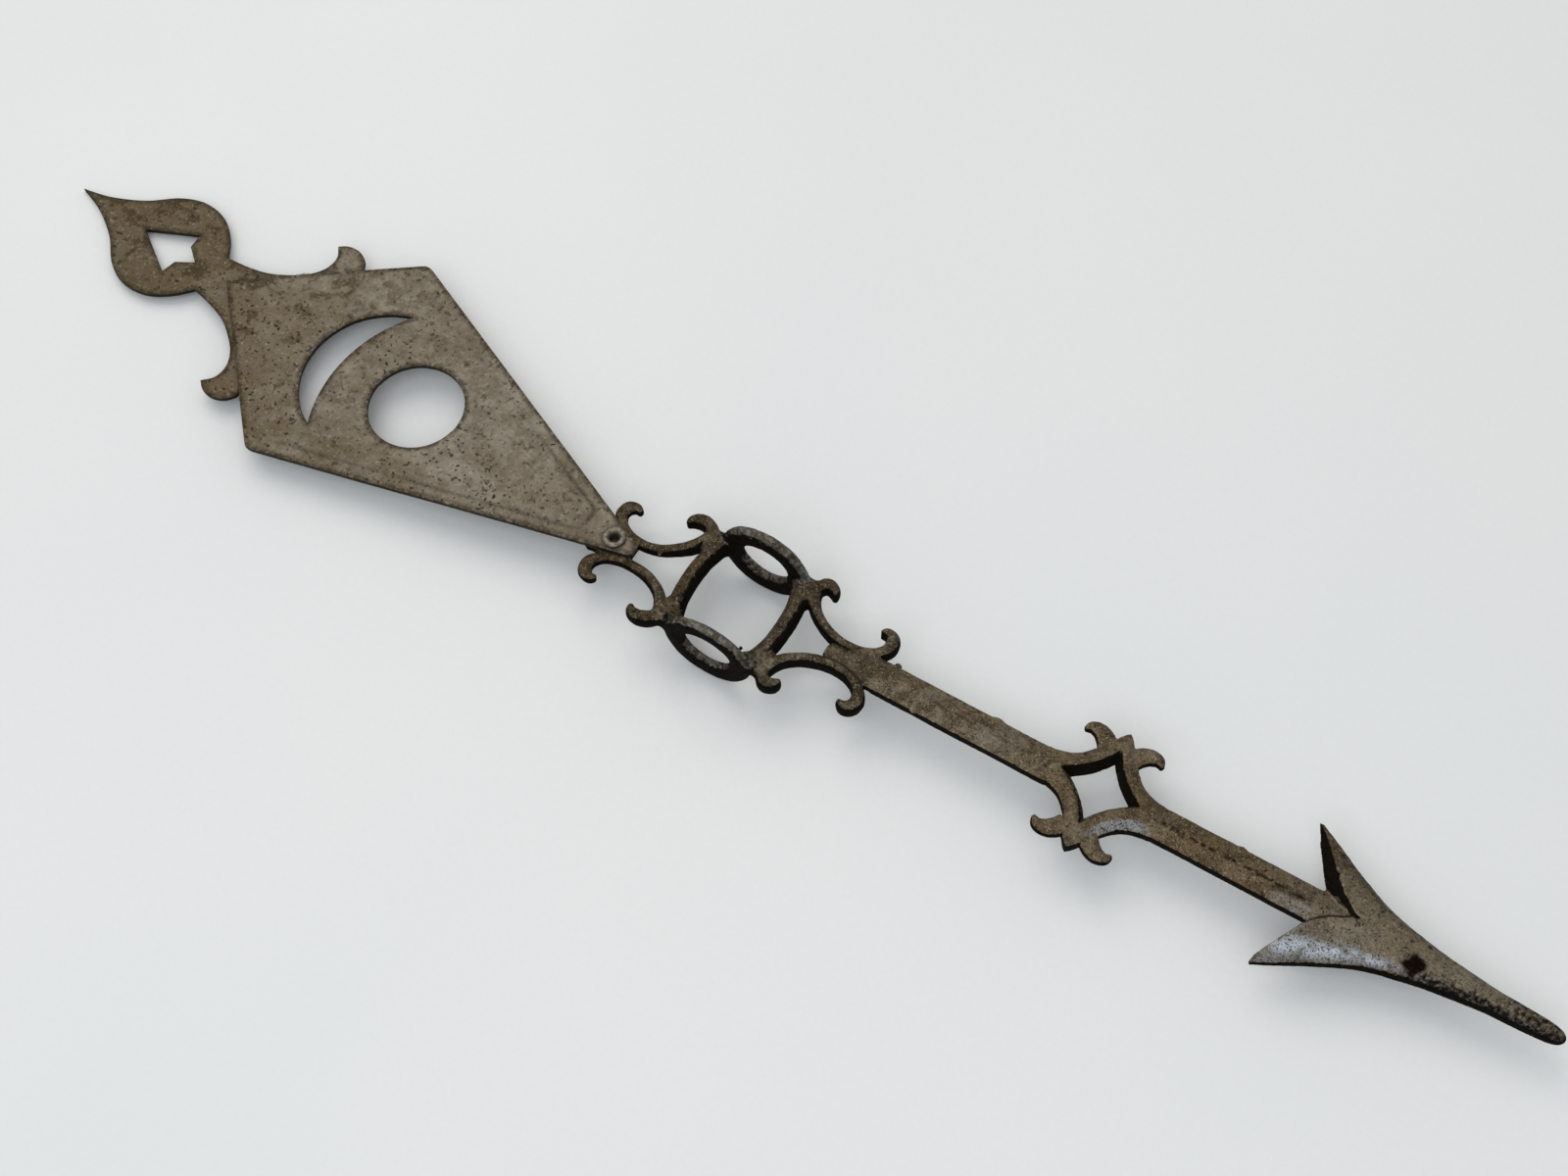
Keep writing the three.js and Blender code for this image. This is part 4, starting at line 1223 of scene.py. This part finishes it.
def plate_iron():
    """The tail's sheet: warm grey with brown stains and dark specks, with painted shade along the
    stamped field's edge, on the edge walls and underneath.
    """
    s = Shade("weathered_sheet_iron")
    along, across = s.mask("along"), s.mask("across")
    grain = s.noise(1.4, 5, 0.6)
    clouds = s.ramp(s.noise(46, 4, 0.6, 0.5), 0.32, 0.70)
    s.colour = s.mix(clouds, (0.164, 0.136, 0.098), (0.242, 0.213, 0.168))
    mottle = s.ramp(s.noise(6, 5, 0.7, 0.3), 0.38, 0.62)
    s.lay((0.100, 0.076, 0.048), mottle, 0.60)
    finial = s.ramp(along, 0.40, 0.22)
    blotches = s.ramp(s.noise(22, 3, 0.6), 0.34, 0.6)
    rear = s.times(s.ramp(along, 0.62, 0.30), blotches)
    s.lay((0.118, 0.086, 0.044), rear, 0.7)
    s.lay((0.088, 0.060, 0.028), finial, 0.62)
    stains = s.times(s.ramp(along, 0.75, 0.25), s.ramp(s.noise(8, 3, 0.6), 0.535, 0.62))
    s.lay((0.046, 0.028, 0.011), stains, 0.8)
    streak = s.times(s.ramp(across, 0.42, 0.12), s.ramp(s.noise(15, 3, 0.6), 0.35, 0.6))
    s.lay((0.100, 0.070, 0.034), streak, 0.75)
    s.lay((0.075, 0.050, 0.026), s.ramp(s.noise(4.4, 3, 0.6), 0.61, 0.68), 0.8)
    dense = s.ramp(s.noise(21, 2), 0.35, 0.65, 0.4, 1.0)
    specks = s.times(s.ramp(s.noise(1.5, 1, 0.5), 0.615, 0.675), dense)
    s.lay((0.016, 0.011, 0.007), specks, 0.95)
    light = s.ramp(s.noise(1.2, 3, 0.6, 0.2), 0.57, 0.70)
    s.lay((0.35, 0.315, 0.255), light, 0.42)
    # Painted shade along the groove at the stamped field's edge.
    line = s.times(s.mask("line"), s.ramp(s.noise(5, 3), 0.3, 0.55, 0.6, 1.0))
    s.lay((0.030, 0.020, 0.011), line, 0.75)
    rim = s.times(s.ramp(s.mask("rim"), 0.22, 0.03), s.ramp(grain, 0.28, 0.56))
    s.lay((0.034, 0.024, 0.012), rim, 0.85)
    # Near-black painted shade on the edge walls, and painted shade underneath.
    s.lay((0.006, 0.0045, 0.003), s.mask("wall"), 0.96)
    s.lay((0.06, 0.045, 0.03), s.mask("under"), 0.6)
    rough = s.ramp(grain, 0.3, 0.7, 0.42, 0.62)
    metallic = s.ramp(s.mask("wall"), 0.1, 0.8, 0.40, 0.0)
    normal = s.bump(s.noise(9, 5, 0.6), 0.6)
    normal = s.bump(s.noise(0.9, 4, 0.6), 0.12, normal)
    s.shader.inputs["Specular IOR Level"].default_value = 0.15
    return s.finish(rough, metallic, normal)


def bare_metal(name, base, bright):
    """Rivet metal and solder: silvery, dulled in patches, dark in the hollow, and with painted shade
    on steep sides.
    """
    s = Shade(name)
    dull = s.ramp(s.noise(1.5, 4, 0.65), 0.36, 0.64)
    s.colour = s.mix(dull, base, bright)
    s.lay((0.035, 0.03, 0.026), s.ramp(s.noise(0.5, 3), 0.58, 0.7), 0.7)
    # Painted shade on the steep sides.
    s.lay((0.05, 0.045, 0.04), s.mask("wall"), 0.6)
    s.colour = s.mix(s.mask("hollow"), s.colour, (0.075, 0.058, 0.038))
    rough = s.ramp(s.noise(0.9, 3), 0.3, 0.7, 0.4, 0.6)
    normal = s.bump(s.noise(0.7, 4, 0.6), 0.08)
    return s.finish(rough, 0.7, normal)


def floor_paper():
    """A pale matt floor with the faintest cloudiness."""
    s = Shade("pale_floor")
    clouds = s.ramp(s.noise(260, 3, 0.5), 0.3, 0.7)
    weave = s.noise(2.4, 3, 0.6)
    s.colour = s.mix(clouds, (0.770, 0.785, 0.780), (0.800, 0.805, 0.800))
    s.colour = s.mix(s.ramp(weave, 0.3, 0.7, 0.0, 0.10), s.colour, (0.70, 0.70, 0.69))
    return s.finish(0.95, 0.0, s.bump(weave, 0.12))


# ---- Pieces

iron, sheet = cast_iron(), plate_iron()
rivet_metal = bare_metal("rivet_metal", (0.13, 0.105, 0.075), (0.26, 0.235, 0.195))
solder_metal = bare_metal("solder", (0.20, 0.20, 0.20), (0.48, 0.49, 0.50))
tail = ARROW @ TAIL
finish_piece(casting(), "casting_look", iron, "arrow_casting", ARROW)
finish_piece(kite_plate(), "kite_look", sheet, "kite_plate", tail)
finish_piece(finial_plate(), "finial_look", sheet, "finial_plate", tail)
finish_piece(tail_rivet(), "rivet_look", rivet_metal, "tail_rivet", tail)
finish_piece(rivet_washer(), "washer_look", rivet_metal, "rivet_washer", tail)
finish_piece(solder_spot(), "solder_look", solder_metal, "solder_spot", tail)

# ---- Floor, light and camera

FLOOR_HALF = 12.0


def floor():
    h = FLOOR_HALF
    mesh = mesh_from([(-h, -h, 0), (h, -h, 0), (h, h, 0), (-h, h, 0)], [(0, 1, 2, 3)], "floor")
    mesh.materials.append(floor_paper())
    in_scene("floor", mesh)


def soft_light(name, azimuth, elevation, distance, size, power, colour):
    """An area light that looks at the arrow; azimuth is from +X towards +Y, in degrees."""
    a, e = math.radians(azimuth), math.radians(elevation)
    position = Vector((math.cos(a) * math.cos(e), math.sin(a) * math.cos(e), math.sin(e)))
    light = bpy.data.lights.new(name, "AREA")
    light.shape, light.size, light.energy, light.color = "DISK", size, power, colour
    holder = in_scene(name, light)
    holder.location = position * distance
    holder.rotation_euler = (-position).to_track_quat("-Z", "Y").to_euler()


def surroundings(colour, strength):
    world = bpy.data.worlds.new("studio")
    world.use_nodes = True
    background = world.node_tree.nodes["Background"]
    background.inputs["Color"].default_value = (*colour, 1)
    background.inputs["Strength"].default_value = strength
    bpy.context.scene.world = world


# In the arrow's own frame, millimetres.
CAMERA_POSITION = Vector((225.06, -348.63, 796.57))
CAMERA_TARGET = Vector((10.5, 13.1, 0))
CAMERA_LENS = 61.13
SENSOR_WIDTH = 36


def camera():
    data = bpy.data.cameras.new("camera")
    data.lens, data.sensor_width, data.sensor_fit = CAMERA_LENS, SENSOR_WIDTH, "HORIZONTAL"
    data.clip_start, data.clip_end = 0.01, 20
    holder = in_scene("camera", data)
    aim = (CAMERA_TARGET - CAMERA_POSITION).to_track_quat("-Z", "Y").to_matrix().to_4x4()
    place = ARROW @ Matrix.Translation(CAMERA_POSITION) @ aim
    turn = place.to_quaternion().to_matrix().to_4x4()
    holder.matrix_world = Matrix.Translation(place.to_translation()) @ turn
    bpy.context.scene.camera = holder


floor()
soft_light("key", azimuth=148, elevation=58, distance=1.6, size=1.5, power=8.5,
           colour=(1.0, 0.96, 0.90))
soft_light("sky", azimuth=-75, elevation=58, distance=1.6, size=1.3, power=7.5,
           colour=(0.86, 0.93, 1.0))
surroundings(colour=(0.98, 0.99, 1.0), strength=0.56)
camera()
bpy.context.scene.view_settings.view_transform = "Standard"
